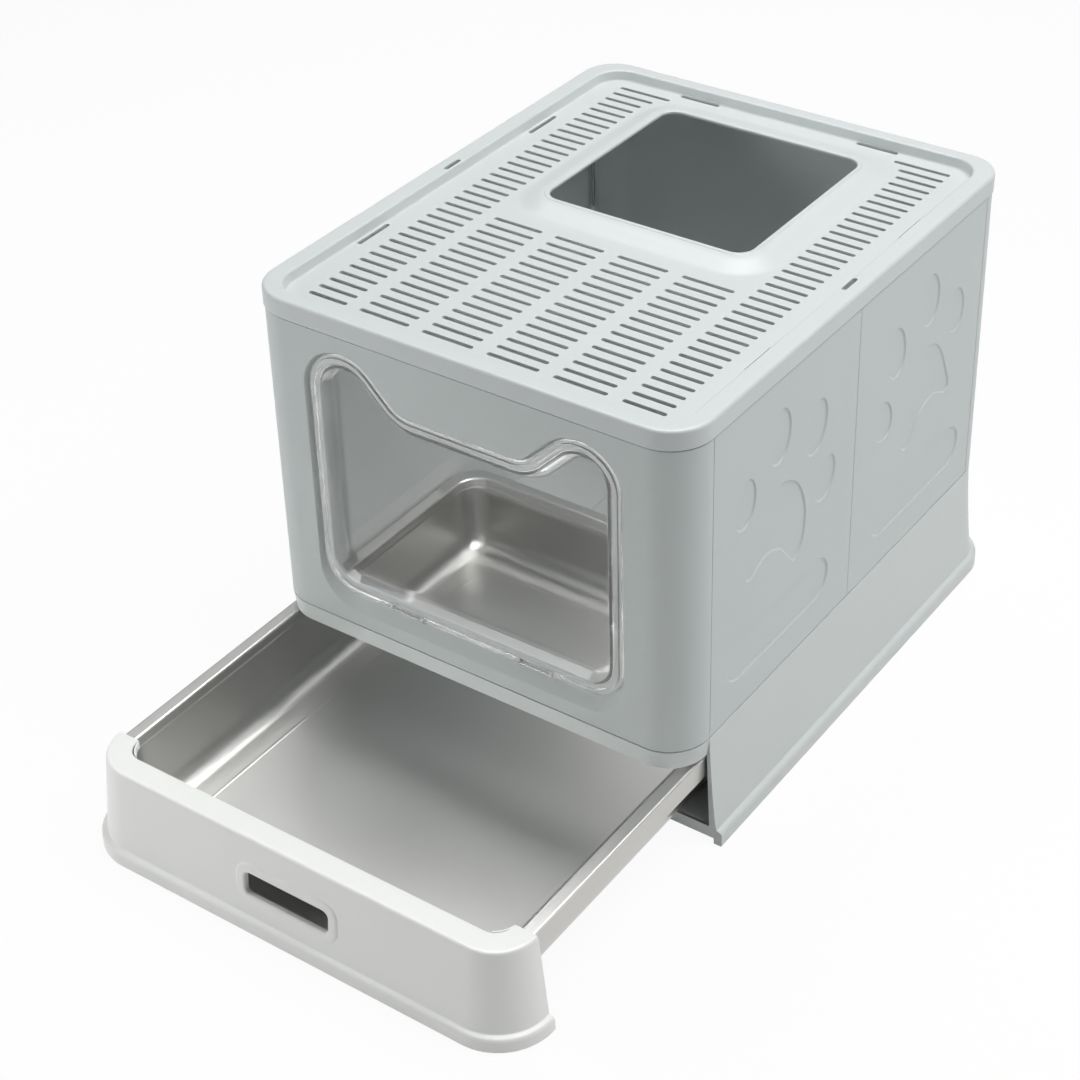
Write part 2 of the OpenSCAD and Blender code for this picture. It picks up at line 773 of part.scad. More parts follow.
module steel_pan() {
    color(steel) drawer_frame() difference() {
        union() {
            translate([0, 0, pan_top_z - steel_t]) linear_extrude(steel_t) pan_rim(0);
            translate([0, 0, pan_top_z - pan_skirt_h]) linear_extrude(pan_skirt_h) difference() {
                pan_rim(0);
                pan_rim(-steel_t);
            }
            tub(pan_top_z - sliver, -steel_t);
        }
        tub(pan_top_z + 1, 0);
    }
}

base_housing();
front_panel();
rear_panel();
foot_pin(-1, false);  // front_panel_pin_left
foot_pin(1, false);  // front_panel_pin_right
foot_pin(-1, true);  // rear_panel_pin_left
foot_pin(1, true);  // rear_panel_pin_right
side_wall(-1, false);  // side_wall_front_left
side_wall(1, false);  // side_wall_front_right
side_wall(-1, true);  // side_wall_rear_left
side_wall(1, true);  // side_wall_rear_right
hinge_rod(-1, false);  // hinge_rod_front_left
hinge_rod(1, false);  // hinge_rod_front_right
hinge_rod(-1, true);  // hinge_rod_rear_left
hinge_rod(1, true);  // hinge_rod_rear_right
lid();
clear_flap();
flap_pin(-1);  // flap_pin_left
flap_pin(1);  // flap_pin_right
drawer_front();
steel_pan();
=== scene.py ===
"""The looks of a covered litter box: moulded plastic shells, a clear flap and a satin steel pan."""
import math

import bmesh
import bpy
from mathutils import Matrix, Vector


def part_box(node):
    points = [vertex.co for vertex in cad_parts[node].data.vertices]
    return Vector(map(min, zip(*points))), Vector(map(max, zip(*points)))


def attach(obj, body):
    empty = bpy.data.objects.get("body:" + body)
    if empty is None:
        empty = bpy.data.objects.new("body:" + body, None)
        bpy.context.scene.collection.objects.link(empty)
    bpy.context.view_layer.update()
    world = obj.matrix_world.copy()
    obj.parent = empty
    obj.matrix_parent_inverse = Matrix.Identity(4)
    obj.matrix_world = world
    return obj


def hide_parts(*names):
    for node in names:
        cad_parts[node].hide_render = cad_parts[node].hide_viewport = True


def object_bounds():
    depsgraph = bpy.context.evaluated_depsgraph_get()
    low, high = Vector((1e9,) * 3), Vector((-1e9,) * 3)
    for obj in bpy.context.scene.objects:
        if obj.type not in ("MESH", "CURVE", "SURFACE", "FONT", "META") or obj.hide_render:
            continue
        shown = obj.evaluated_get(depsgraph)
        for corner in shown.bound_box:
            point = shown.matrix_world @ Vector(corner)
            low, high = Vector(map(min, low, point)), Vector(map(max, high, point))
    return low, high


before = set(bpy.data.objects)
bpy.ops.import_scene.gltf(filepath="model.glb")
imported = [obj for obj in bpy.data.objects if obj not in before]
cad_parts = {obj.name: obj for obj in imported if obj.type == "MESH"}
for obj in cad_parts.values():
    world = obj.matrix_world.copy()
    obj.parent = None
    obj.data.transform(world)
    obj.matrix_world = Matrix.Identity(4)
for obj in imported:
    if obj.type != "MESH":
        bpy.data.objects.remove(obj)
cad_low, cad_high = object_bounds()

MM = 0.001

# Places on the box, in millimetres, read from the frame; lengths along Y count from the front wall's face
FRONT_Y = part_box("front_panel")[0].y / MM
HALF_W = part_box("front_panel")[1].x / MM
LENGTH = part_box("rear_panel")[1].y / MM - FRONT_Y
FOOT_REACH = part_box("base_housing")[1].x / MM - HALF_W
DRAWER_OUT = FRONT_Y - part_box("drawer_front")[0].y / MM - FOOT_REACH
BASE_TOP = 101.0
WALL_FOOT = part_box("rear_panel")[0].z / MM
SEAM_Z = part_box("lid")[0].z / MM - 0.3
LID_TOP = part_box("lid")[1].z / MM
FRONT_SEAM = 36.0
REAR_SEAM = LENGTH - 31.0
MID_SEAM = (FRONT_SEAM + REAR_SEAM) / 2
SEAM_GAP = 0.6
FRONT_R = 34.0
REAR_R = 30.0
PANEL_T = 3.0
PAN_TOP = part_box("steel_pan")[1].z / MM
PAN_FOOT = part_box("steel_pan")[0].z / MM
PAN_HALF_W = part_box("steel_pan")[1].x / MM
PAN_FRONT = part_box("steel_pan")[0].y / MM - FRONT_Y + DRAWER_OUT
PAN_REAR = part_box("steel_pan")[1].y / MM - FRONT_Y + DRAWER_OUT


# Small helpers

def linear(code):
    """An sRGB hex colour as linear RGBA."""
    parts = [int(code[i:i + 2], 16) / 255 for i in (1, 3, 5)]
    return [c / 12.92 if c <= 0.04045 else ((c + 0.055) / 1.055) ** 2.4 for c in parts] + [1.0]


def node(tree, kind, settings=None, inputs=None):
    """Adds a node with its settings, and its inputs as values or as sockets to link from."""
    made = tree.nodes.new(kind)
    for key, value in (settings or {}).items():
        setattr(made, key, value)
    for key, value in (inputs or {}).items():
        if isinstance(value, bpy.types.NodeSocket):
            tree.links.new(value, made.inputs[key])
        else:
            made.inputs[key].default_value = value
    return made


def new_material(name):
    """An empty node material and its tree."""
    material = bpy.data.materials.new(name)
    material.use_nodes = True
    tree = material.node_tree
    tree.nodes.clear()
    return material, tree


def finish_material(tree, shader):
    """Sends the shader to the material's surface."""
    node(tree, "ShaderNodeOutputMaterial", inputs={"Surface": shader.outputs[0]})


# Materials

def moulded_plastic(name, base, shade, roughness, grain=0.35):
    """Injection-moulded polypropylene: soft sheen, fine spark-eroded grain and a faint drift of colour.

    The real grain is about 0.1 mm and would not show, so it is drawn at 1.1 mm.
    """
    material, tree = new_material(name)
    place = node(tree, "ShaderNodeTexCoord").outputs["Object"]
    drift = node(tree, "ShaderNodeTexNoise",
                 inputs={"Vector": place, "Scale": 9.0, "Detail": 3.0, "Roughness": 0.5})
    colour = node(tree, "ShaderNodeMix", {"data_type": "RGBA"},
                  {"Factor": drift.outputs["Fac"], "A": linear(base), "B": linear(shade)})
    fine = node(tree, "ShaderNodeTexNoise", inputs={"Vector": place, "Scale": 900.0, "Detail": 2.0})
    gloss = node(tree, "ShaderNodeMapRange", inputs={
        "Value": fine.outputs["Fac"], "From Min": 0.3, "From Max": 0.7,
        "To Min": roughness - 0.04, "To Max": roughness + 0.05})
    bump = node(tree, "ShaderNodeBump",
                inputs={"Height": fine.outputs["Fac"], "Strength": grain, "Distance": 0.05 * MM})
    shader = node(tree, "ShaderNodeBsdfPrincipled", inputs={
        "Base Color": colour.outputs["Result"], "Roughness": gloss.outputs["Result"], "IOR": 1.49,
        "Normal": bump.outputs["Normal"]})
    finish_material(tree, shader)
    return material


def satin_stainless(name, base, shade, roughness, along):
    """Stainless sheet with a satin finish: fine brush lines along one axis, under a slow drift of tone.

    The real lines are finer than 0.1 mm, so they are drawn about 1 mm apart.
    """
    material, tree = new_material(name)
    place = node(tree, "ShaderNodeTexCoord").outputs["Object"]
    stretch = node(tree, "ShaderNodeMapping", inputs={"Vector": place, "Scale": along})
    lines = node(tree, "ShaderNodeTexNoise",
                 inputs={"Vector": stretch.outputs["Vector"], "Scale": 1.0, "Detail": 4.0})
    cloud = node(tree, "ShaderNodeTexNoise", inputs={"Vector": place, "Scale": 7.0, "Detail": 2.0})
    colour = node(tree, "ShaderNodeMix", {"data_type": "RGBA"},
                  {"Factor": cloud.outputs["Fac"], "A": linear(base), "B": linear(shade)})
    gloss = node(tree, "ShaderNodeMapRange", inputs={
        "Value": lines.outputs["Fac"], "From Min": 0.25, "From Max": 0.75,
        "To Min": roughness - 0.02, "To Max": roughness + 0.02})
    bump = node(tree, "ShaderNodeBump",
                inputs={"Height": lines.outputs["Fac"], "Strength": 0.05, "Distance": 0.01 * MM})
    shader = node(tree, "ShaderNodeBsdfPrincipled", inputs={
        "Base Color": colour.outputs["Result"], "Metallic": 1.0, "Roughness": gloss.outputs["Result"],
        "Normal": bump.outputs["Normal"]})
    finish_material(tree, shader)
    return material


def clear_plastic(name):
    """Clear polystyrene, polished in the mould: a faint ripple in the surface bends what shows through.

    The pane, at the back of the tray, is clear. On the thick flange and the steep wall in front of it the
    transmission is lowered, so they look a little milky white: a painted highlight in place of the bright
    reflections on them.
    """
    material, tree = new_material(name)
    place = node(tree, "ShaderNodeTexCoord").outputs["Object"]
    ripple = node(tree, "ShaderNodeTexNoise", inputs={"Vector": place, "Scale": 22.0, "Detail": 1.0})
    bump = node(tree, "ShaderNodeBump",
                inputs={"Height": ripple.outputs["Fac"], "Strength": 0.02, "Distance": 0.2 * MM})
    depth = node(tree, "ShaderNodeSeparateXYZ", inputs={"Vector": place}).outputs["Y"]
    # Painted highlight: less transmission on the flange and the tray's wall lets white diffuse show there,
    # in place of bright reflections; the pane stays clear
    clear = node(tree, "ShaderNodeMapRange", inputs={
        "Value": depth, "From Min": (FRONT_Y + 10.5) * MM, "From Max": (FRONT_Y + 12.2) * MM,
        "To Min": 0.87, "To Max": 0.97})
    shader = node(tree, "ShaderNodeBsdfPrincipled", inputs={
        "Base Color": linear("#fdfdfd"), "Roughness": 0.02, "IOR": 1.45,
        "Transmission Weight": clear.outputs["Result"],
        "Normal": bump.outputs["Normal"]})
    finish_material(tree, shader)
    return material


# The lid, the walls and the base are moulded from the same grey; they differ a little in tone
HOUSING = moulded_plastic("polypropylene_light_grey_base", "#d3d8d7", "#cfd4d3", 0.42)
WALL = moulded_plastic("polypropylene_light_grey_wall", "#c9d0cf", "#c5cccb", 0.42)
LID = moulded_plastic("polypropylene_light_grey_lid", "#d2d7d7", "#ced3d3", 0.45)
WHITE = moulded_plastic("polypropylene_off_white_drawer", "#fafbf8", "#f6f7f4", 0.4)
STEEL = satin_stainless("stainless_satin_pan", "#c6c5c2", "#bfbebb", 0.32, (1100.0, 40.0, 1100.0))
PIN = satin_stainless("steel_drawn_rod", "#b4b6b7", "#a7a9aa", 0.25, (900.0, 900.0, 20.0))
CLEAR = clear_plastic("polystyrene_clear_flap")


# Mesh helpers: every point is (x, y, z) in millimetres, with y counted from the front wall's face

class Shell:
    """Vertices and faces of one piece, built up from lofts."""

    def __init__(self):
        self.points = []
        self.faces = []

    def loft(self, loops, ring=False, caps=False):
        """Faces between successive loops; ring joins the last loop to the first, caps closes both ends."""
        first = len(self.points)
        count = len(loops[0])
        for loop in loops:
            self.points.extend(loop)
        rows = len(loops)
        for r in range(rows if ring else rows - 1):
            a = first + r * count
            b = first + ((r + 1) % rows) * count
            for i in range(count):
                j = (i + 1) % count
                self.faces.append((a + i, a + j, b + j, b + i))
        if caps:
            self.faces.append(tuple(first + i for i in reversed(range(count))))
            self.faces.append(tuple(first + (rows - 1) * count + i for i in range(count)))
        return self

    def mesh(self, name, y_shift=0.0):
        """The shell as a mesh in metres, moved y_shift along Y, with its faces outwards."""
        data = bpy.data.meshes.new(name)
        points = [(x * MM, (y + FRONT_Y + y_shift) * MM, z * MM) for x, y, z in self.points]
        data.from_pydata(points, [], self.faces)
        work = bmesh.new()
        work.from_mesh(data)
        bmesh.ops.remove_doubles(work, verts=work.verts, dist=1e-6)
        bmesh.ops.recalc_face_normals(work, faces=work.faces)
        work.to_mesh(data)
        work.free()
        return data


def soft_by_angle(name, mesh, degrees):
    """The mesh shaded smooth across edges flatter than degrees, with flat faces kept flat beside them."""
    for polygon in mesh.polygons:
        polygon.use_smooth = True
    mesh.set_sharp_from_angle(angle=math.radians(degrees))
    work = bpy.data.objects.new("work", mesh)
    bpy.context.scene.collection.objects.link(work)
    change = work.modifiers.new("normals", "WEIGHTED_NORMAL")
    change.keep_sharp = True
    bpy.context.view_layer.update()
    result = bpy.data.meshes.new_from_object(work.evaluated_get(bpy.context.evaluated_depsgraph_get()))
    bpy.data.objects.remove(work)
    result.name = name
    return result


def finished(name, mesh, body, material, replaces=(), degrees=32):
    """Makes the piece, gives it its material and sets what it rides on and stands for."""
    mesh = soft_by_angle(name, mesh, degrees)
    mesh.materials.clear()
    mesh.materials.append(material)
    piece = bpy.data.objects.new(name, mesh)
    bpy.context.scene.collection.objects.link(piece)
    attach(piece, body)
    if replaces:
        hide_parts(*replaces)
    return piece


def combined(target, others, operation):
    """The mesh of target joined with, or cut by, the closed meshes in others."""
    base = bpy.data.objects.new("work", target)
    bpy.context.scene.collection.objects.link(base)
    tools = []
    for mesh in others:
        tool = bpy.data.objects.new("tool", mesh)
        bpy.context.scene.collection.objects.link(tool)
        tools.append(tool)
        change = base.modifiers.new("boolean", "BOOLEAN")
        change.operation = operation
        change.solver = "EXACT"
        change.object = tool
    bpy.context.view_layer.update()
    result = bpy.data.meshes.new_from_object(base.evaluated_get(bpy.context.evaluated_depsgraph_get()))
    for thing in [base, *tools]:
        bpy.data.objects.remove(thing)
    return result


def joined(meshes, name):
    """One mesh that holds all the given ones as separate shells."""
    work = bmesh.new()
    for mesh in meshes:
        work.from_mesh(mesh)
    data = bpy.data.meshes.new(name)
    work.to_mesh(data)
    work.free()
    return data


def rounded_rect(half, y0, y1, r0, r1, steps=14):
    """Points round a rectangle from its right front corner, with radius r0 in front and r1 at the rear."""
    centres = [(half - r0, y0 + r0, r0, -90), (half - r1, y1 - r1, r1, 0),
               (r1 - half, y1 - r1, r1, 90), (r0 - half, y0 + r0, r0, 180)]
    points = []
    for cx, cy, r, start in centres:
        for i in range(steps + 1):
            a = math.radians(start + 90 * i / steps)
            points.append((cx + r * math.cos(a), cy + r * math.sin(a)))
    return points


def plan(grow, steps=14):
    """The walls' outline seen from above, grown outwards."""
    return rounded_rect(HALF_W + grow, -grow, LENGTH + grow, FRONT_R + grow, REAR_R + grow, steps)


def front_path(grow, end_y, steps=14):
    """The outline from the right hand seam round the front to the left hand seam."""
    outline = plan(grow, steps)
    right = outline[:steps + 1]
    left = outline[3 * (steps + 1):]
    half = HALF_W + grow
    return [(half, end_y)] + right[::-1] + left[::-1] + [(-half, end_y)]


def rear_path(grow, start_y, steps=14):
    """The outline from the right hand seam round the rear to the left hand seam."""
    outline = plan(grow, steps)
    half = HALF_W + grow
    return [(half, start_y)] + outline[steps + 1:3 * (steps + 1)] + [(-half, start_y)]


def rounded(corners, steps=4, closed=True):
    """A profile whose corners (u, v, r) are rounded with radius r."""
    points = []
    count = len(corners)
    for i, (u, v, r) in enumerate(corners):
        if r <= 0 or (not closed and i in (0, count - 1)):
            points.append((u, v))
            continue
        here = Vector((u, v))
        before = Vector(corners[i - 1][:2]) - here
        after = Vector(corners[(i + 1) % count][:2]) - here
        a, b = before.normalized(), after.normalized()
        half = a.angle(b) / 2
        reach = min(r / math.tan(half), 0.49 * before.length, 0.49 * after.length)
        radius = reach * math.tan(half)
        centre = here + (a + b).normalized() * radius / math.sin(half)
        start, end = here + a * reach - centre, here + b * reach - centre
        turn = start.angle_signed(end)
        for k in range(steps + 1):
            points.append(tuple(centre + Matrix.Rotation(-turn * k / steps, 2) @ start))
    return points


def swept(path_at, profile):
    """Lofts a closed profile of (grow, z) along an open path, with both ends closed."""
    shell = Shell()
    paths = [path_at(grow) for grow, z in profile]
    sections = []
    for i in range(len(paths[0])):
        sections.append([(paths[k][i][0], paths[k][i][1], profile[k][1]) for k in range(len(profile))])
    return shell.loft(sections, caps=True)


def at_height(outline, z):
    """The outline's points at one height."""
    return [(x, y, z) for x, y in outline]


def block(x0, x1, y0, y1, z0, z1, edge=0.4):
    """A box with softened edges, as loops from its foot to its top."""
    loops = []
    for inset, z in ((edge, z0), (0, z0 + edge), (0, z1 - edge), (edge, z1)):
        r = edge * 1.5
        half = (x1 - x0) / 2 - inset
        middle = (x0 + x1) / 2
        outline = rounded_rect(half, y0 + inset, y1 - inset, r, r, 2)
        loops.append([(x + middle, y, z) for x, y in outline])
    return Shell().loft(loops, caps=True)


def upright_tube(x, y, z0, z1, r, bore, steps=24):
    """A tube along Z with softened rims."""
    def ring(radius, z):
        turns = [2 * math.pi * i / steps for i in range(steps)]
        return [(x + radius * math.cos(a), y + radius * math.sin(a), z) for a in turns]
    edge = 0.3
    profile = [(bore, z0), (r - edge, z0), (r, z0 + edge), (r, z1 - edge), (r - edge, z1), (bore, z1)]
    return Shell().loft([ring(*p) for p in profile], ring=True)


def level_bar(x0, x1, y, z, r, bore=0.0, steps=20):
    """A bar or tube along X."""
    def ring(radius, x):
        turns = [2 * math.pi * i / steps for i in range(steps)]
        return [(x, y + radius * math.cos(a), z + radius * math.sin(a)) for a in turns]
    edge = 0.25
    if bore:
        profile = [(bore, x0), (r - edge, x0), (r, x0 + edge), (r, x1 - edge), (r - edge, x1), (bore, x1)]
        return Shell().loft([ring(*p) for p in profile], ring=True)
    profile = [(r - edge, x0), (r, x0 + edge), (r, x1 - edge), (r - edge, x1)]
    return Shell().loft([ring(*p) for p in profile], caps=True)


def mirrored_x(mesh):
    """A copy of mesh mirrored to the other side of the box."""
    copy = mesh.copy()
    copy.transform(Matrix.Diagonal((-1, 1, 1, 1)))
    copy.flip_normals()
    return copy


def mirrored_y(mesh):
    """A copy of mesh mirrored from the front half of the walls to the rear half."""
    middle = (FRONT_Y + MID_SEAM) * MM
    copy = mesh.copy()
    copy.transform(Matrix.Translation((0, 2 * middle, 0)) @ Matrix.Diagonal((1, -1, 1, 1)))
    copy.flip_normals()
    return copy


# Hinges of the folding walls
KNUCKLE_R = 3.9
KNUCKLE_GAP = 0.3
STACK_INSET = 4.0
KNUCKLE_H = 14.0
FIXED_H = 11.0
HINGE_PITCH = 93.0
ROD_R = 1.5
ROD_PLAY = 0.08
WEB_START = 1.9
HINGE_Z = [BASE_TOP + (SEAM_Z - BASE_TOP - 2 * HINGE_PITCH) / 2 + 1 + i * HINGE_PITCH for i in range(3)]


def hinge_parts(right, fixed):
    """The knuckles at the front right seam and their webs to the wall, as separate shells."""
    inset = KNUCKLE_R + KNUCKLE_GAP + (STACK_INSET if right else 0)
    x = HALF_W - PANEL_T - inset
    parts = []
    for z in HINGE_Z:
        spans = [(z - KNUCKLE_H / 2, z + KNUCKLE_H / 2)]
        if fixed:
            gap = KNUCKLE_H / 2 + 0.4
            spans = [(z - gap - FIXED_H, z - gap), (z + gap, z + gap + FIXED_H)]
        for z0, z1 in spans:
            parts.append(upright_tube(x, FRONT_SEAM, z0, z1, KNUCKLE_R, ROD_R + ROD_PLAY).mesh("knuckle"))
            near, far = (-KNUCKLE_R, -WEB_START) if fixed else (WEB_START, KNUCKLE_R)
            y0, y1 = FRONT_SEAM + near, FRONT_SEAM + far
            parts.append(block(x + 0.5, HALF_W - PANEL_T + 0.5, y0, y1, z0 + 0.1, z1 - 0.1, 0.2).mesh("web"))
    return parts


# Pins at the foot of the front and rear walls, and the clips that hold the lid
FOOT_PIN_Y = FRONT_SEAM - 6.5
CLIP_X, CLIP_Y, CLIP_LEN, CLIP_W = 85.0, 15.0, 38.0, 4.0


def foot_boss():
    """The boss inside the front right corner that its foot pin goes into."""
    y = FOOT_PIN_Y
    return block(HALF_W - 7.0, HALF_W - 3.5, y - 5, y + 5, WALL_FOOT + 0.1, WALL_FOOT + 12).mesh("boss")


def lid_tongues(rear):
    """Two hooks near the wall's top that stand in the lid's end slots."""
    parts = []
    for side in (-1, 1):
        x = side * CLIP_X
        for y0, y1, z0, z1 in ((PANEL_T - 0.5, CLIP_Y, SEAM_Z - 8, SEAM_Z - 6.4),
                               (CLIP_Y - 0.8, CLIP_Y + 0.8, SEAM_Z - 8, LID_TOP - 10.8)):
            if rear:
                y0, y1 = LENGTH - y1, LENGTH - y0
            parts.append(block(x - 17, x + 17, y0, y1, z0, z1, 0.3).mesh("tongue"))
    return parts


# Walls
WALL_EDGE = 0.35
# The narrow gap that shows as a dark line above the base and under the lid
SHADOW_LINE = 0.8


def wall_profile():
    """A wall's cross-section, with softened edges and the lip that locates the lid."""
    top = SEAM_Z
    gap = WALL_FOOT + SHADOW_LINE
    return rounded([
        (0, gap, WALL_EDGE), (0, top - SHADOW_LINE, WALL_EDGE), (-1.5, top - SHADOW_LINE, 0),
        (-1.5, top + 4.4, 0.3), (-PANEL_T, top + 4.4, 0.3), (-PANEL_T, WALL_FOOT, 0),
        (-2.2, WALL_FOOT, 0), (-2.2, gap, 0)], 3)


# Cat-eared outline of the flap and its recess, as heights above the base
EAR_HALF_W, EAR_R, EAR_Z = 140.0, 35.0, 213.0
DIP_Z, DIP_R = 212.0, 24.0
RECESS_FOOT, RECESS_CORNER = 26.3, 33.0
RECESS_DEPTH, SCOOP_H = 5.2, 10.0


def arc(cx, cz, r, start, end, steps):
    """Points along an arc, from start to end in degrees."""
    return [(cx + r * math.cos(math.radians(start + (end - start) * i / steps)),
             cz + r * math.sin(math.radians(start + (end - start) * i / steps))) for i in range(steps + 1)]


def ear_outline(d, drop=0.0):
    """The outline, d inside the recess's edge, with its foot lowered by drop, as (x, z) points."""
    ear_x = EAR_HALF_W - EAR_R
    dip = DIP_Z - d
    slope = EAR_Z - ear_x + (EAR_R - d) * math.sqrt(2)
    fillet = DIP_R + d
    fillet_x = dip - slope - fillet * (math.sqrt(2) - 1)
    corner = RECESS_CORNER - d
    foot = RECESS_FOOT + d - drop
    corner_x = EAR_HALF_W - RECESS_CORNER
    foot_row = [(corner_x * i / 6, foot) for i in range(1, 6)]
    half = (foot_row + arc(corner_x, foot + corner, corner, -90, 0, 14)
            + arc(ear_x, EAR_Z, EAR_R - d, 0, 135, 26) + arc(fillet_x, dip + fillet, fillet, -45, -90, 12))
    other = [(-x, z) for x, z in reversed(half)]
    return [(x, z + BASE_TOP) for x, z in half + [(0.0, dip)] + other + [(0.0, foot)]]


def ear_shell(profile, name):
    """A closed shell through cat-eared loops, each given as (d, y) or (d, y, drop)."""
    loops = [[(x, p[1], z) for x, z in ear_outline(p[0], p[2] if len(p) > 2 else 0.0)] for p in profile]
    return Shell().loft(loops, caps=True).mesh(name)


# The flap in its recess: how deep it sits, its thickness, its hinge line and its two lugs
FLANGE_Y = 2.7
FLAP_T = 2.2
FLAP_AXIS_Y = FLANGE_Y + FLAP_T / 2
FLAP_AXIS_Z = BASE_TOP + RECESS_FOOT + 2.9
LUG_R = 2.4
LUG_X, LUG_LEN, LUG_WALL, LUG_PLAY = 60.0, 26.0, 3.0, 0.4
EAR_BORE, LUG_BORE = 1.05, 1.08
HOLE_INSET = 9.6


def lug_ends(side):
    """The middle of the small gap at each end of one lug, along X."""
    return [side * LUG_X + e * (LUG_LEN + LUG_WALL + 2 * LUG_PLAY) / 2 for e in (-1, 1)]


def hinge_bar(x, half, r, bore=0.0):
    """A bar or tube on the flap's hinge line."""
    return level_bar(x - half, x + half, FLAP_AXIS_Y, FLAP_AXIS_Z, r, bore)


def front_panel():
    """The front wall with both rounded corners, the flap's recess and the doorway."""
    panel = swept(lambda grow: front_path(grow, FRONT_SEAM - SEAM_GAP / 2, 24), wall_profile()).mesh("front")
    plate = ear_shell([(-PANEL_T, 1.5, SCOOP_H), (-PANEL_T, 8.2, SCOOP_H)], "plate")
    cut = ear_shell([
        (-3.6, -1.0, SCOOP_H + 0.2), (-2.6, -0.1, SCOOP_H + 0.2), (-2.0, 0.12, SCOOP_H),
        (-1.5, 0.5, SCOOP_H - 0.9), (-0.6, 2.5, 5.2), (-0.1, 4.4, 1.4), (0.3, 5.0, 0.3),
        (0.9, RECESS_DEPTH, 0.0)], "cut")
    hole = ear_shell([(HOLE_INSET - 0.8, 5.0), (HOLE_INSET, 5.8), (HOLE_INSET, 12.0)], "hole")
    panel = combined(panel, [plate], "UNION")
    pockets = [hinge_bar(s * LUG_X, LUG_LEN / 2 + LUG_PLAY, LUG_R + 0.35).mesh("pocket") for s in (-1, 1)]
    panel = combined(panel, [cut, hole] + pockets, "DIFFERENCE")
    extras = lid_tongues(False)
    for x in lug_ends(-1) + lug_ends(1):
        extras.append(hinge_bar(x, LUG_WALL / 2, LUG_R, EAR_BORE).mesh("ear"))
        extras.append(block(x - LUG_WALL / 2, x + LUG_WALL / 2, FLAP_AXIS_Y + 0.2, RECESS_DEPTH + 0.6,
                            FLAP_AXIS_Z - LUG_R - 1.6, FLAP_AXIS_Z - 1.2, 0.25).mesh("web"))
    extras += hinge_parts(True, True) + [foot_boss()]
    extras += [mirrored_x(m) for m in hinge_parts(False, True) + [foot_boss()]]
    mesh = joined([panel] + extras, "front_wall_moulding")
    finished("front_wall_moulding", mesh, "housing", WALL, ["front_panel"])


def rear_panel():
    """The rear wall with both rounded corners."""
    panel = swept(lambda grow: rear_path(grow, REAR_SEAM + SEAM_GAP / 2, 20), wall_profile()).mesh("rear")
    parts = [panel] + lid_tongues(True)
    parts += [mirrored_y(m) for m in hinge_parts(True, True) + [foot_boss()]]
    parts += [mirrored_y(mirrored_x(m)) for m in hinge_parts(False, True) + [foot_boss()]]
    mesh = joined(parts, "rear_wall_moulding")
    finished("rear_wall_moulding", mesh, "housing", WALL, ["rear_panel"])


# Relief of the side walls, as (y, height above the base); each toe also has its width, height and tilt
RELIEF_D = 1.4
# From the face down to the relief's floor, as (outwards from the outline, height off the face)
RELIEF_EDGE = [(2.2, 0.6), (1.1, 0.0), (0.7, -0.12), (0.2, -0.65), (-0.2, -1.15), (-0.6, -1.36),
               (-1.3, -RELIEF_D)]
TOES = [(80, 182, 28, 40, -8), (127, 214, 30, 45, -4), (181, 193, 30, 45, -12), (197, 139, 28, 37, -22)]
PAD = [(113, 167), (132, 171), (155, 158), (168, 130), (166, 103), (155, 90), (146, 98), (132, 113),
       (113, 119), (99, 115), (90, 111), (84, 116), (91, 135), (101, 155)]
# Edges sharper than this, in degrees, stay sharp on a side wall, so that its relief reads
WALL_SHARP = 18
# The paw above is drawn about y 136, and its middle stands 106.5 mm in front of the middle seam
PAW_SHIFT_Y = MID_SEAM - 106.5 - 136.0
PILL_Y, PILL_Z, PILL_LEN, PILL_W = MID_SEAM - 109.5, 48.0, 149.0, 37.0


def oval(cy, cz, w, h, tilt, steps=40):
    """Points round an ellipse that is w by h and tilted in degrees."""
    points = []
    for i in range(steps):
        a = 2 * math.pi * i / steps
        u, v, t = w / 2 * math.cos(a), h / 2 * math.sin(a), math.radians(tilt)
        points.append((cy + u * math.cos(t) - v * math.sin(t), cz + u * math.sin(t) + v * math.cos(t)))
    return points


def smooth_loop(points, steps=6):
    """A smooth closed curve through the points."""
    curve = []
    count = len(points)
    for i in range(count):
        a, b, c, d = (Vector(points[(i + k) % count]) for k in (-1, 0, 1, 2))
        for k in range(steps):
            t = k / steps
            p = 0.5 * (2 * b + (c - a) * t + (2 * a - 5 * b + 4 * c - d) * t * t
                       + (3 * b - a - 3 * c + d) * t ** 3)
            curve.append((p.x, p.y))
    return curve


def pill(cy, cz, length, w, steps=16):
    """Points round a long recess with round ends."""
    straight = (length - w) / 2
    return arc(cy + straight, cz, w / 2, -90, 90, steps) + arc(cy - straight, cz, w / 2, 90, 270, steps)


def grown(loop, amount):
    """A closed loop moved outwards by amount along its own normals."""
    count = len(loop)
    moved = []
    for i in range(count):
        before, after = Vector(loop[i - 1]), Vector(loop[(i + 1) % count])
        along = (after - before).normalized()
        moved.append((loop[i][0] + along.y * amount, loop[i][1] - along.x * amount))
    return moved


def relief_loops():
    """The outlines of a paw's toes and pad, and of the long recess under it."""
    loops = [oval(y + PAW_SHIFT_Y, z, w, h, tilt) for y, z, w, h, tilt in TOES]
    pad = smooth_loop([(y + PAW_SHIFT_Y, z) for y, z in PAD])
    loops.append(pad[::-1])
    loops.append(pill(PILL_Y, PILL_Z, PILL_LEN, PILL_W))
    return loops


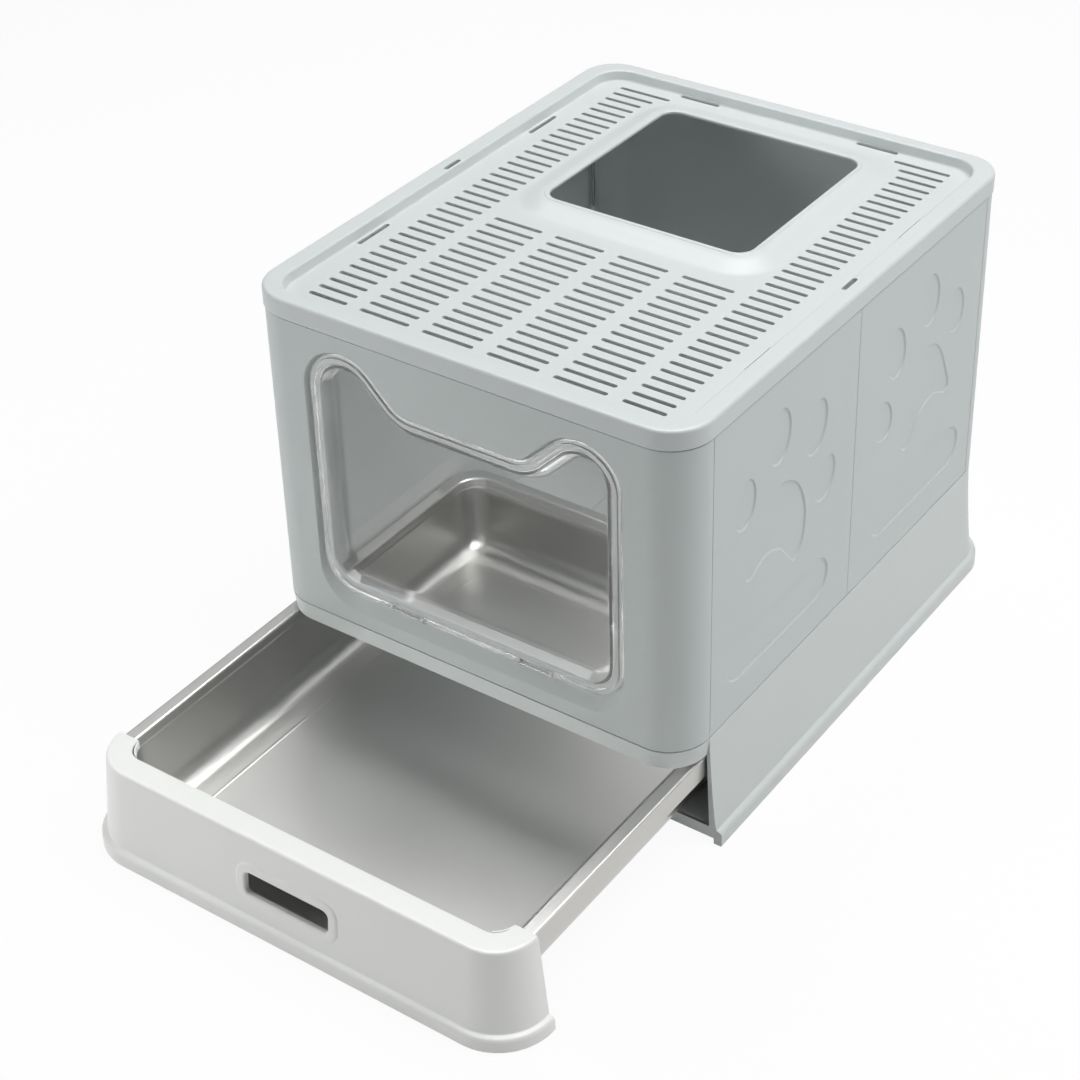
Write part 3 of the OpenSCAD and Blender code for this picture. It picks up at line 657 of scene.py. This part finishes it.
def side_wall_mesh(right):
    """The front right half of the side walls, with its hinge knuckles."""
    y0, y1 = FRONT_SEAM + SEAM_GAP / 2, MID_SEAM - SEAM_GAP / 2
    section = [(HALF_W + u, z) for u, z in wall_profile()]
    wall = Shell().loft([[(x, y, z) for x, z in section] for y in (y0, y1)], caps=True).mesh("wall")
    cutters = []
    for loop in relief_loops():
        rows = []
        for amount, depth in RELIEF_EDGE:
            rows.append([(HALF_W + depth, y, z + BASE_TOP) for y, z in grown(loop, amount)])
        cutters.append(Shell().loft(rows, caps=True).mesh("relief"))
    wall = combined(wall, cutters, "DIFFERENCE")
    return joined([wall] + hinge_parts(right, False), "wall")


def side_walls():
    """The four halves, each mirrored from the shape of the front right one."""
    front_right = side_wall_mesh(True)
    front_left = mirrored_x(side_wall_mesh(False))
    made = {"front_right": front_right, "rear_right": mirrored_y(front_right),
            "front_left": front_left, "rear_left": mirrored_y(front_left)}
    for where, mesh in made.items():
        finished(f"side_wall_moulding_{where}", mesh, f"wall_{where}", WALL,
                 [f"side_wall_{where}"], WALL_SHARP)


# Base
BAND_FOOT = BASE_TOP - 16.0
FOOT_H = 14.0
FLARE = 6.5
LEAN = FLARE / (BAND_FOOT - FOOT_H)
FLOOR_TOP, FLOOR_T = 15.0, 2.4
BASE_WALL = 2.6
RUNNER_X, RUNNER_W = 115.0, 4.0


def flare_at(z):
    """How far the base's side leans out at height z."""
    return max(0.0, (BAND_FOOT - z) * LEAN)


def base_housing():
    """The base: its walls with the foot flange, the band over the drawer, the floor and the runner ribs."""
    inner = BASE_WALL
    span = BASE_TOP - FOOT_H
    flare = [(FLARE * (1 - k / 12) ** 1.4, FOOT_H + span * k / 12, 0) for k in range(1, 12)]
    side = rounded([
        (FOOT_REACH, 0, 0.8), (FOOT_REACH, FOOT_H - 1.8, 4.6), (FLARE + 0.6, FOOT_H, 1.4), *flare,
        (0, BASE_TOP, WALL_EDGE), (-inner, BASE_TOP, 0.4), (-inner, BAND_FOOT, 4.0),
        (flare_at(0) - inner, 0, 0.6)], 5)
    walls = swept(lambda grow: rear_path(grow, FRONT_SEAM, 20), side)
    strip = rounded([(-1.8, BAND_FOOT, 0.8), (0, BASE_TOP, WALL_EDGE), (-inner, BASE_TOP, 0.4),
                     (-inner, BAND_FOOT, 0.6)], 3)
    band = swept(lambda grow: front_path(grow, FRONT_SEAM + 1.0, 24), strip)
    wall_line = rear_path(flare_at(FLOOR_TOP) - inner + 0.4, FRONT_SEAM + 0.6, 20)
    floor = Shell().loft([at_height(wall_line, z) for z in (FLOOR_TOP - FLOOR_T, FLOOR_TOP)], caps=True)
    parts = [walls.mesh("walls"), band.mesh("band"), floor.mesh("floor")]
    rib_top = PAN_FOOT - 0.3
    for s in (-1, 1):
        x = s * RUNNER_X
        parts.append(block(x - RUNNER_W / 2, x + RUNNER_W / 2, FRONT_SEAM + 1, PAN_REAR,
                           FLOOR_TOP - 0.2, rib_top, 0.4).mesh("rib"))
    outline = [(HALF_W + 0.6, FLOOR_TOP - 0.5), (HALF_W + flare_at(FLOOR_TOP) - 1.5, FLOOR_TOP - 0.5),
               (HALF_W - 1.0, BAND_FOOT), (HALF_W - 2.4, BAND_FOOT)]
    ends = (FRONT_SEAM + 0.2, FRONT_SEAM + 2.4)
    wedge = Shell().loft([[(x, y, z) for x, z in outline] for y in ends], caps=True)
    parts += [wedge.mesh("wedge"), mirrored_x(wedge.mesh("wedge"))]
    half = HALF_W + flare_at(8.0) - inner
    parts.append(block(-half, half, FRONT_SEAM + 0.2, FRONT_SEAM + 2.6, 4.5, FLOOR_TOP, 0.5).mesh("lip"))
    lug_x = HALF_W - 7.3
    y = FOOT_PIN_Y
    lug = [block(lug_x - 6, lug_x, y - 5, y + 5, BASE_TOP - 8, BASE_TOP + 12).mesh("lug"),
           block(lug_x - 0.5, HALF_W - 2.2, y - 5, y + 5, BASE_TOP - 8, BASE_TOP - 0.2).mesh("lug")]
    for mesh in lug:
        parts += [mesh, mirrored_x(mesh), mirrored_y(mesh), mirrored_y(mirrored_x(mesh))]
    mesh = joined(parts, "base_moulding")
    finished("base_moulding", mesh, "housing", HOUSING, ["base_housing"])


# Drawer
FASCIA_TOP = BAND_FOOT - 1.0
FASCIA_LEDGE = 19.5
HAND_W, HAND_H, HAND_Z, HAND_R, BEZEL_W, BEZEL_H = 77.0, 19.5, 43.0, 5.0, 9.0, 1.6
HOOK_X = 120.0


def hand_hole_shell(profile, name):
    """A shell round the hand hole, square to the drawer front's leaning face, as (grow, height off it)."""
    w, h, r = HAND_W, HAND_H, HAND_R
    tilt = math.atan(LEAN)
    middle_y = -flare_at(HAND_Z)
    loops = []
    for grow, out in profile:
        loop = []
        for x, v in rounded_rect(w / 2 + grow, -h / 2 - grow, h / 2 + grow, r + grow, r + grow, 10):
            loop.append((x, middle_y + v * math.sin(tilt) - out * math.cos(tilt),
                         HAND_Z + v * math.cos(tilt) + out * math.sin(tilt)))
        loops.append(loop)
    return Shell().loft(loops, caps=True).mesh(name)


def drawer_front():
    """The drawer's off-white front, open at its rear, with a hand hole, a raised rim and a stepped lip."""
    end_y = FRONT_SEAM - SEAM_GAP
    thick = 3.0
    ledge_under = FASCIA_TOP - 1.8
    profile = rounded([
        (FOOT_REACH, 1.0, 0.8), (FOOT_REACH, FOOT_H - 1.8, 4.6), (FLARE + 0.6, FOOT_H, 1.4),
        (flare_at(FASCIA_TOP), FASCIA_TOP, 3.0), (-FASCIA_LEDGE, FASCIA_TOP, 1.6),
        (-FASCIA_LEDGE, ledge_under + 0.1, 0.3), (-thick, ledge_under, 0.5),
        (flare_at(1.0) - thick, 1.0, 0.6)], 6)
    shell = swept(lambda grow: front_path(grow, end_y, 24), profile).mesh("fascia")
    bezel = hand_hole_shell([
        (BEZEL_W, -1.5), (BEZEL_W, -0.2), (BEZEL_W - 0.5, 0.7), (BEZEL_W - 1.6, 1.4),
        (BEZEL_W - 3.0, BEZEL_H), (1.8, BEZEL_H)], "bezel")
    hole = hand_hole_shell([
        (2.8, BEZEL_H + 1.0), (1.7, BEZEL_H), (0.9, BEZEL_H - 0.35), (0.3, BEZEL_H - 0.9),
        (0.0, BEZEL_H - 1.6), (0.0, -9.0)], "hole")
    shell = combined(shell, [bezel], "UNION")
    shell = combined(shell, [hole], "DIFFERENCE")
    lips = []
    corner = FRONT_R + 6.0
    centre = HALF_W - corner
    turns = [math.radians(a) for a in range(14, 62, 4)]
    for side in (-1, 1):
        rows = []
        for inset, z in ((FASCIA_LEDGE, FASCIA_TOP - 1.0), (FASCIA_LEDGE, PAN_TOP - 4.6),
                         (FASCIA_LEDGE - 1.2, PAN_TOP - 4.6), (FASCIA_LEDGE - 1.2, FASCIA_TOP - 1.0)):
            r = corner - inset
            rows.append([(side * (centre + r * math.cos(a)), corner - r * math.sin(a), z) for a in turns])
        lips.append(Shell().loft([list(section) for section in zip(*rows)], caps=True).mesh("lip"))
    hooks = [block(s * HOOK_X - 10, s * HOOK_X + 10, 1.5, PAN_FRONT + 4,
                   PAN_TOP - 22.3, PAN_TOP - 19.3).mesh("hook") for s in (-1, 1)]
    mesh = joined([shell] + lips + hooks, "drawer_front_moulding")
    mesh.transform(Matrix.Translation((0, -DRAWER_OUT * MM, 0)))
    finished("drawer_front_moulding", mesh, "drawer", WHITE, ["drawer_front"])


# Steel pan; its mouth's front edge is PAN_MOUTH_Y behind the front wall's face when the drawer is shut
PAN_RIM, PAN_SKIRT, PAN_SHEET, PAN_DRAFT, PAN_FILLET, PAN_CORNER = 12.0, 19.0, 0.8, 7.0, 26.0, 21.0
PAN_MOUTH_Y = 18.5


def pan_loop(grow, z, steps=16):
    """A loop of the pan, where grow counts outwards from the rim's inner edge."""
    if grow > 0:
        share = min(1.0, grow / PAN_RIM)
        front = PAN_MOUTH_Y + (PAN_FRONT - PAN_MOUTH_Y) * share
        corner_front = PAN_CORNER + (FRONT_R - PAN_FRONT - PAN_CORNER) * share
        corner_rear = PAN_CORNER + (REAR_R - 5.2 - PAN_CORNER) * share
    else:
        front = PAN_MOUTH_Y - grow
        corner_front = corner_rear = max(1.5, PAN_CORNER + grow * 0.6)
    half = PAN_HALF_W - PAN_RIM + grow
    rear = PAN_REAR - PAN_RIM + grow
    return at_height(rounded_rect(half, front, rear, corner_front, corner_rear, steps), z)


def steel_pan():
    """The deep-drawn pan, from its turned-down skirt over the rim to a floor with a low stiffening ridge."""
    floor = PAN_FOOT + PAN_SHEET
    flat = -PAN_DRAFT - 29.4
    inside = rounded([
        (PAN_RIM, PAN_TOP - PAN_SKIRT, 0), (PAN_RIM, PAN_TOP, 2.2), (0, PAN_TOP, 2.4),
        (-1.1, PAN_TOP - 7.0, 0.8), (-1.9, PAN_TOP - 8.2, 0.8), (-PAN_DRAFT, floor, PAN_FILLET),
        (flat, floor, 0)], 18, closed=False)
    outside = rounded([
        (flat, PAN_FOOT, 0), (-PAN_DRAFT + PAN_SHEET, PAN_FOOT, PAN_FILLET + PAN_SHEET),
        (PAN_SHEET, PAN_TOP - PAN_SHEET, 1.6), (PAN_RIM - PAN_SHEET, PAN_TOP - PAN_SHEET, 1.4),
        (PAN_RIM - PAN_SHEET, PAN_TOP - PAN_SKIRT, 0)], 14, closed=False)
    ridge_at = -PAN_DRAFT - 31.0
    ridge = [(ridge_at + 0.9, floor), (ridge_at + 0.4, floor + 0.14), (ridge_at - 0.4, floor + 0.14),
             (ridge_at - 0.9, floor), (ridge_at - 1.6, floor), (ridge_at - 4.0, floor)]
    under = [(ridge_at - 4.0, PAN_FOOT)]
    profile = inside + ridge
    shell = Shell()
    loops = [pan_loop(g, z) for g, z in profile]
    shell.loft(loops)
    shell.faces.append(tuple(range((len(loops) - 1) * len(loops[0]), len(loops) * len(loops[0]))))
    back = [pan_loop(g, z) for g, z in under + outside]
    start = len(shell.points)
    shell.loft(back)
    shell.faces.append(tuple(range(start, start + len(back[0]))))
    rim_loops = [loops[0], back[-1]]
    shell.loft(rim_loops)
    mesh = shell.mesh("steel_pan_drawn", -DRAWER_OUT)
    finished("steel_pan_drawn", mesh, "drawer", STEEL, ["steel_pan"])


# Flap
def clear_flap():
    """The clear tray with its flange, a raised bead round it and two lugs at its foot."""
    gap = 1.4
    flange = 11.0
    depth = 11.8
    draft = 4.4
    far_in = 60.0
    inner = gap + flange
    front, back = FLANGE_Y, FLANGE_Y + FLAP_T
    pane = FLANGE_Y + depth
    profile = rounded([
        (far_in, pane - FLAP_T, 0), (inner + draft, pane - FLAP_T, 4.0), (inner, front, 1.8),
        (gap + 5.9, front, 0.4), (gap + 5.3, front - 1.5, 0.8), (gap + 2.4, front - 1.5, 0.8),
        (gap + 1.8, front, 0.4), (gap, front, 0.7), (gap, back, 0.5), (inner - FLAP_T, back, 0.8),
        (inner - FLAP_T + draft, pane, 5.0), (far_in, pane, 0)], 7, closed=False)
    margin = 1.5
    first, last = profile[1], profile[-2]
    profile = [(first[0] + margin, first[1])] + profile[1:-1] + [(last[0] + margin, last[1])]
    loops = []
    for d, y in profile:
        loops.append([(x, y, max(z, FLAP_AXIS_Z)) for x, z in ear_outline(d)])
    flap = Shell().loft(loops, caps=True).mesh("flap")
    knuckles = [hinge_bar(s * LUG_X, LUG_LEN / 2, LUG_R).mesh("lug") for s in (-1, 1)]
    cuts = []
    for s in (-1, 1):
        cuts += [hinge_bar(x, LUG_WALL / 2 + LUG_PLAY, LUG_R + 0.4).mesh("notch") for x in lug_ends(s)]
        cuts.append(hinge_bar(s * LUG_X, LUG_LEN, LUG_BORE).mesh("bore"))
    flap = combined(flap, knuckles, "UNION")
    flap = combined(flap, cuts, "DIFFERENCE")
    finished("clear_flap_moulding", flap, "flap", CLEAR, ["clear_flap"])


# Lid
LID_OVER, LID_T, RIM_SIDE, RIM_END, LID_SINK = 1.0, 2.2, 16.5, 13.5, 9.0
LID_FLOOR = LID_TOP - LID_SINK
LID_FLOOR_R = 23.0
HATCH, HATCH_Y, HATCH_R = 185.0, LENGTH - 145.0, 14.0
HATCH_RISE, HATCH_SLOPE = 6.4, 26.0
SLOT_PITCH, SLOT_W, SLOT_OUTER_LEN, SLOT_GAP = 12.0, 4.1, 36.0, 12.4
SIDE_CLIP_Y = 114.0


def lid_edge_loop(grow, z):
    """The walls' outline grown outwards, for the lid's skirt."""
    return at_height(plan(grow, 16), z)


def lid_floor_loop(grow, z):
    """The outline of the lid's sunk floor, grown outwards."""
    half = HALF_W + LID_OVER - RIM_SIDE + grow
    end = RIM_END - LID_OVER - grow
    r = LID_FLOOR_R + grow
    return at_height(rounded_rect(half, end, LENGTH - end, r, r, 16), z)


def hatch_loop(grow, z):
    """The outline of the lid's opening, grown outwards."""
    half = HATCH / 2 + grow
    r = HATCH_R + grow * 0.9
    return at_height(rounded_rect(half, HATCH_Y - half, HATCH_Y + half, r, r, 16), z)


def lid_body():
    """The lid as one closed shell, with its opening but no slots."""
    over = LID_OVER
    inside = over - LID_T
    flat = over - 6.0
    foot = SEAM_Z + 0.3
    under = LID_TOP - LID_T
    floor_under = LID_FLOOR - LID_T
    skirt = rounded([
        (inside, foot, 0.4), (over, foot, 0.7), (over, LID_TOP, 3.4),
        (flat, LID_TOP, 0)], 8, closed=False)
    loops = [lid_edge_loop(g, z) for g, z in skirt]
    step = rounded([
        (4.0, LID_TOP, 0), (0.6, LID_TOP, 2.6), (-0.2, LID_FLOOR, 1.6),
        (-4.0, LID_FLOOR, 0)], 6, closed=False)
    loops += [lid_floor_loop(g, z) for g, z in step]
    rise = []
    steps = 14
    for i in range(steps + 1):
        t = i / steps
        ease = t * t * (3 - 2 * t)
        rise.append((HATCH_SLOPE + (5.2 - HATCH_SLOPE) * t, LID_FLOOR + (HATCH_RISE - 0.7) * ease))
    crest = LID_FLOOR + HATCH_RISE
    rim_under = crest - LID_T - 0.4
    rim = rounded([
        (5.2, crest - 0.7, 0), (4.4, crest - 0.7, 0.3), (3.7, crest, 0.6), (0, crest, 1.4),
        (0, rim_under, 0.4), (3.6, rim_under, 2.0), (HATCH_SLOPE, floor_under, 0)], 6, closed=False)
    loops += [hatch_loop(g, z) for g, z in rise + rim[1:]]
    loops += [lid_floor_loop(-4.0, floor_under), lid_floor_loop(LID_T, floor_under)]
    loops += [lid_floor_loop(LID_T + 0.6, under), lid_floor_loop(4.0, under)]
    loops += [lid_edge_loop(flat, under), lid_edge_loop(inside, under)]
    return Shell().loft(loops, ring=True).mesh("lid")


def slot_tree():
    """Geometry Nodes that cut one column of round-ended slots, each the same distance from the last."""
    tree = bpy.data.node_groups.new("slot_column", "GeometryNodeTree")
    face = tree.interface
    face.new_socket("Geometry", in_out="INPUT", socket_type="NodeSocketGeometry")
    face.new_socket("Rows", in_out="INPUT", socket_type="NodeSocketInt")
    for name in ("Length", "Width", "Depth"):
        face.new_socket(name, in_out="INPUT", socket_type="NodeSocketFloat")
    face.new_socket("Start", in_out="INPUT", socket_type="NodeSocketVector")
    face.new_socket("Step", in_out="INPUT", socket_type="NodeSocketVector")
    face.new_socket("Material", in_out="INPUT", socket_type="NodeSocketMaterial")
    face.new_socket("Geometry", in_out="OUTPUT", socket_type="NodeSocketGeometry")
    given = node(tree, "NodeGroupInput").outputs
    line = node(tree, "GeometryNodeMeshLine", {"mode": "OFFSET"},
                {"Count": given["Rows"], "Start Location": given["Start"], "Offset": given["Step"]})
    outline = node(tree, "GeometryNodeCurvePrimitiveQuadrilateral", {"mode": "RECTANGLE"},
                   {"Width": given["Length"], "Height": given["Width"]})
    shorter = node(tree, "ShaderNodeMath", {"operation": "MINIMUM"}, {0: given["Length"], 1: given["Width"]})
    radius = node(tree, "ShaderNodeMath", {"operation": "MULTIPLY"}, {0: shorter.outputs[0], 1: 0.499})
    ends = node(tree, "GeometryNodeFilletCurve", {"mode": "POLY"},
                {"Curve": outline.outputs["Curve"], "Count": 6, "Radius": radius.outputs[0]})
    fill = node(tree, "GeometryNodeFillCurve", {"mode": "NGONS"}, {"Curve": ends.outputs["Curve"]})
    up = node(tree, "ShaderNodeCombineXYZ", inputs={"Z": given["Depth"]})
    tall = node(tree, "GeometryNodeExtrudeMesh",
                inputs={"Mesh": fill.outputs["Mesh"], "Offset": up.outputs[0]})
    foot = node(tree, "GeometryNodeFlipFaces", inputs={"Mesh": fill.outputs["Mesh"]})
    both = node(tree, "GeometryNodeJoinGeometry")
    tree.links.new(tall.outputs["Mesh"], both.inputs[0])
    tree.links.new(foot.outputs["Mesh"], both.inputs[0])
    closed = node(tree, "GeometryNodeMergeByDistance",
                  inputs={"Geometry": both.outputs[0], "Distance": 0.01 * MM})
    copies = node(tree, "GeometryNodeInstanceOnPoints",
                  inputs={"Points": line.outputs["Mesh"], "Instance": closed.outputs[0]})
    real = node(tree, "GeometryNodeRealizeInstances", inputs={"Geometry": copies.outputs["Instances"]})
    cut = node(tree, "GeometryNodeMeshBoolean", {"operation": "DIFFERENCE", "solver": "EXACT"},
               {"Mesh 1": given["Geometry"]})
    tree.links.new(real.outputs["Geometry"], cut.inputs["Mesh 2"])
    dressed = node(tree, "GeometryNodeSetMaterial",
                   inputs={"Geometry": cut.outputs["Mesh"], "Material": given["Material"]})
    out = node(tree, "NodeGroupOutput")
    tree.links.new(dressed.outputs["Geometry"], out.inputs["Geometry"])
    return tree


def cut_column(mesh, tree, start, step, rows, length, width):
    """Cuts one row of slots, or a single clip slot, through the lid's floor."""
    thing = bpy.data.objects.new("lid_work", mesh)
    bpy.context.scene.collection.objects.link(thing)
    change = thing.modifiers.new("slots", "NODES")
    change.node_group = tree
    x, y, z = start
    start = (x * MM, (y + FRONT_Y) * MM, z * MM)
    step = tuple(v * MM for v in step)
    values = {"Rows": rows, "Length": length * MM, "Width": width * MM, "Depth": 18 * MM,
              "Start": start, "Step": step, "Material": LID}
    for item in tree.interface.items_tree:
        if item.in_out == "INPUT" and item.name in values:
            change[item.identifier] = values[item.name]
    bpy.context.view_layer.update()
    result = bpy.data.meshes.new_from_object(thing.evaluated_get(bpy.context.evaluated_depsgraph_get()))
    bpy.data.objects.remove(thing)
    return result


def lid():
    """The lid, with its rows of vent slots, two longer ones at each rear corner, and its clip slots."""
    mesh = lid_body()
    tree = slot_tree()
    foot = LID_FLOOR - LID_T - 4
    outer = HALF_W + LID_OVER - RIM_SIDE - 20
    last_y = LENGTH - 28.0
    rows = round((last_y - RIM_END - 20) / SLOT_PITCH) + 1
    first_y = last_y - (rows - 1) * SLOT_PITCH
    inner_rows = int((HATCH_Y - HATCH / 2 - HATCH_SLOPE - 6 - first_y) / SLOT_PITCH) + 1
    inner_len = (outer - SLOT_OUTER_LEN - 2.5 * SLOT_GAP) / 2
    step = (0, SLOT_PITCH, 0)
    for s in (-1, 1):
        start = (s * (outer - SLOT_OUTER_LEN / 2), first_y, foot)
        mesh = cut_column(mesh, tree, start, step, rows - 2, SLOT_OUTER_LEN, SLOT_W)
        for k, reach in ((2, 4.0), (1, 14.0)):
            length = SLOT_OUTER_LEN + reach
            start = (s * (outer - length / 2), first_y + (rows - k) * SLOT_PITCH, foot)
            mesh = cut_column(mesh, tree, start, step, 1, length, SLOT_W)
        for column in (0, 1):
            x = SLOT_GAP / 2 + column * (inner_len + SLOT_GAP) + inner_len / 2
            mesh = cut_column(mesh, tree, (s * x, first_y, foot), step, inner_rows, inner_len, SLOT_W)
        between = (0, LENGTH - 2 * CLIP_Y, 0)
        mesh = cut_column(mesh, tree, (s * CLIP_X, CLIP_Y, foot), between, 2, CLIP_LEN, CLIP_W)
        start = (s * (HALF_W - 20.0), MID_SEAM - SIDE_CLIP_Y, foot)
        mesh = cut_column(mesh, tree, start, (0, 2 * SIDE_CLIP_Y, 0), 2, CLIP_W, CLIP_LEN)
        start = (s * (HALF_W + LID_OVER - RIM_SIDE / 2 - 4), MID_SEAM, foot)
        mesh = cut_column(mesh, tree, start, step, 1, CLIP_W, 20.0)
    finished("lid_moulding", mesh, "lid", LID, ["lid"])


def dress_pins():
    """Pins and rods keep their solids and get a drawn finish."""
    for name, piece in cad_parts.items():
        if "_pin_" in name or "rod" in name:
            piece.data.materials.clear()
            piece.data.materials.append(PIN)


# Stage, camera and light
def stage():
    """A white floor that keeps the box's shadow, and a world that is white to the camera.

    Under the box the floor stays plain and matt, so that the drawer's bay and hand hole are dark inside.
    Reflections see a broad bright scrim overhead, which gives the steel its soft streaks.
    """
    low, high = cad_low, cad_high
    mesh = bpy.data.meshes.new("floor")
    size = 6.0
    corners = [(-size, -size, 0), (size, -size, 0), (size, size, 0), (-size, size, 0)]
    mesh.from_pydata(corners, [], [(0, 1, 2, 3)])
    floor = bpy.data.objects.new("floor", mesh)
    bpy.context.scene.collection.objects.link(floor)
    material, tree = new_material("pale_floor")
    rays = node(tree, "ShaderNodeLightPath")
    straight = node(tree, "ShaderNodeMath", {"operation": "MAXIMUM"},
                    {0: rays.outputs["Is Camera Ray"], 1: rays.outputs["Is Transmission Ray"]})
    seen = node(tree, "ShaderNodeMath", {"operation": "MAXIMUM"},
                {0: straight.outputs[0], 1: rays.outputs["Is Glossy Ray"]})
    place = node(tree, "ShaderNodeTexCoord").outputs["Object"]
    centred = node(tree, "ShaderNodeVectorMath", {"operation": "SUBTRACT"},
                   {0: place, 1: ((low.x + high.x) / 2, (low.y + high.y) / 2, 0)})
    apart = node(tree, "ShaderNodeVectorMath", {"operation": "ABSOLUTE"}, {0: centred.outputs[0]})
    beyond = node(tree, "ShaderNodeVectorMath", {"operation": "SUBTRACT"},
                  {0: apart.outputs[0], 1: ((high.x - low.x) * 0.3, (high.y - low.y) / 2 - 0.02, 1)})
    split = node(tree, "ShaderNodeSeparateXYZ", inputs={0: beyond.outputs[0]})
    outside = node(tree, "ShaderNodeMath", {"operation": "MAXIMUM"},
                   {0: split.outputs["X"], 1: split.outputs["Y"]})
    open_floor = node(tree, "ShaderNodeMapRange", inputs={
        "Value": outside.outputs[0], "From Min": 0.0, "From Max": 0.01, "To Min": 0.0, "To Max": 0.93})
    share = node(tree, "ShaderNodeMath", {"operation": "MULTIPLY"},
                 {0: seen.outputs[0], 1: open_floor.outputs[0]})
    tone = node(tree, "ShaderNodeMix", {"data_type": "RGBA"},
                {"Factor": share.outputs[0], "A": linear("#ececec"), "B": linear("#fcfcfc")})
    matt = node(tree, "ShaderNodeBsdfDiffuse", inputs={"Color": tone.outputs["Result"]})
    white = node(tree, "ShaderNodeEmission", inputs={"Color": (1, 1, 1, 1), "Strength": 1.0})
    mixed = node(tree, "ShaderNodeMixShader",
                 inputs={0: share.outputs[0], 1: matt.outputs[0], 2: white.outputs[0]})
    finish_material(tree, mixed)
    mesh.materials.append(material)

    world = bpy.data.worlds.new("studio")
    bpy.context.scene.world = world
    world.use_nodes = True
    tree = world.node_tree
    tree.nodes.clear()
    rays = node(tree, "ShaderNodeLightPath")
    seen = node(tree, "ShaderNodeMath", {"operation": "MAXIMUM"},
                {0: rays.outputs["Is Camera Ray"], 1: rays.outputs["Is Transmission Ray"]})
    direction = node(tree, "ShaderNodeTexCoord").outputs["Generated"]
    upwards = node(tree, "ShaderNodeSeparateXYZ", inputs={0: direction})
    scrim = node(tree, "ShaderNodeMapRange", inputs={
        "Value": upwards.outputs["Z"], "From Min": 0.78, "From Max": 0.92, "To Min": 0.3, "To Max": 9.0})
    mirrored = node(tree, "ShaderNodeMapRange", inputs={
        "Value": rays.outputs["Is Glossy Ray"], "To Min": 0.09, "To Max": scrim.outputs["Result"]})
    soft = node(tree, "ShaderNodeBackground",
                inputs={"Color": linear("#f2f4f6"), "Strength": mirrored.outputs[0]})
    white = node(tree, "ShaderNodeBackground", inputs={"Color": (1, 1, 1, 1), "Strength": 1.0})
    mixed = node(tree, "ShaderNodeMixShader",
                 inputs={0: seen.outputs[0], 1: soft.outputs[0], 2: white.outputs[0]})
    node(tree, "ShaderNodeOutputWorld", inputs={"Surface": mixed.outputs[0]})


def lamp(name, place, target, size, power):
    """A soft square lamp at place, aimed at target, in metres and watts."""
    data = bpy.data.lights.new(name, "AREA")
    data.shape = "SQUARE"
    data.size = size
    data.energy = power
    thing = bpy.data.objects.new(name, data)
    bpy.context.scene.collection.objects.link(thing)
    thing.location = place
    thing.rotation_euler = (Vector(target) - Vector(place)).to_track_quat("-Z", "Y").to_euler()


def lights():
    """Two soft lamps overhead and three weaker ones at the front and the right."""
    middle = (0, 0.05, 0.2)
    lamp("key_above", (1.0, 0.3, 2.25), middle, 1.5, 33)
    lamp("softbox_rear", (-0.4, 0.8, 2.1), middle, 1.2, 15)
    lamp("front_left", (-1.3, -1.1, 0.9), middle, 0.9, 8)
    lamp("front_low", (-0.9, -1.6, 0.6), middle, 0.9, 4)
    lamp("fill_right", (2.0, 0.6, 0.6), middle, 1.2, 6)


def camera():
    """The photograph's camera: its place, turn and lens, solved from the box's straight edges."""
    azimuth, elevation, roll = 35.847, 32.609, -1.6625
    place = (0.888, -1.2492, 1.2479)
    focal_share = 2384.8 / 1080
    shift_x, shift_y = -6.33 / 1080, -127.45 / 1080
    data = bpy.data.cameras.new("camera")
    data.sensor_width = 36
    data.lens = focal_share * data.sensor_width
    data.shift_x = shift_x
    data.shift_y = shift_y
    data.clip_start, data.clip_end = 0.05, 50
    thing = bpy.data.objects.new("camera", data)
    bpy.context.scene.collection.objects.link(thing)
    turn = (Matrix.Rotation(math.radians(azimuth), 4, "Z")
            @ Matrix.Rotation(math.radians(90 - elevation), 4, "X")
            @ Matrix.Rotation(math.radians(roll), 4, "Z"))
    thing.matrix_world = Matrix.Translation(place) @ turn
    bpy.context.scene.camera = thing


bpy.context.scene.view_settings.view_transform = "Standard"
camera()
stage()
lights()
front_panel()
rear_panel()
side_walls()
base_housing()
drawer_front()
steel_pan()
clear_flap()
lid()
dress_pins()
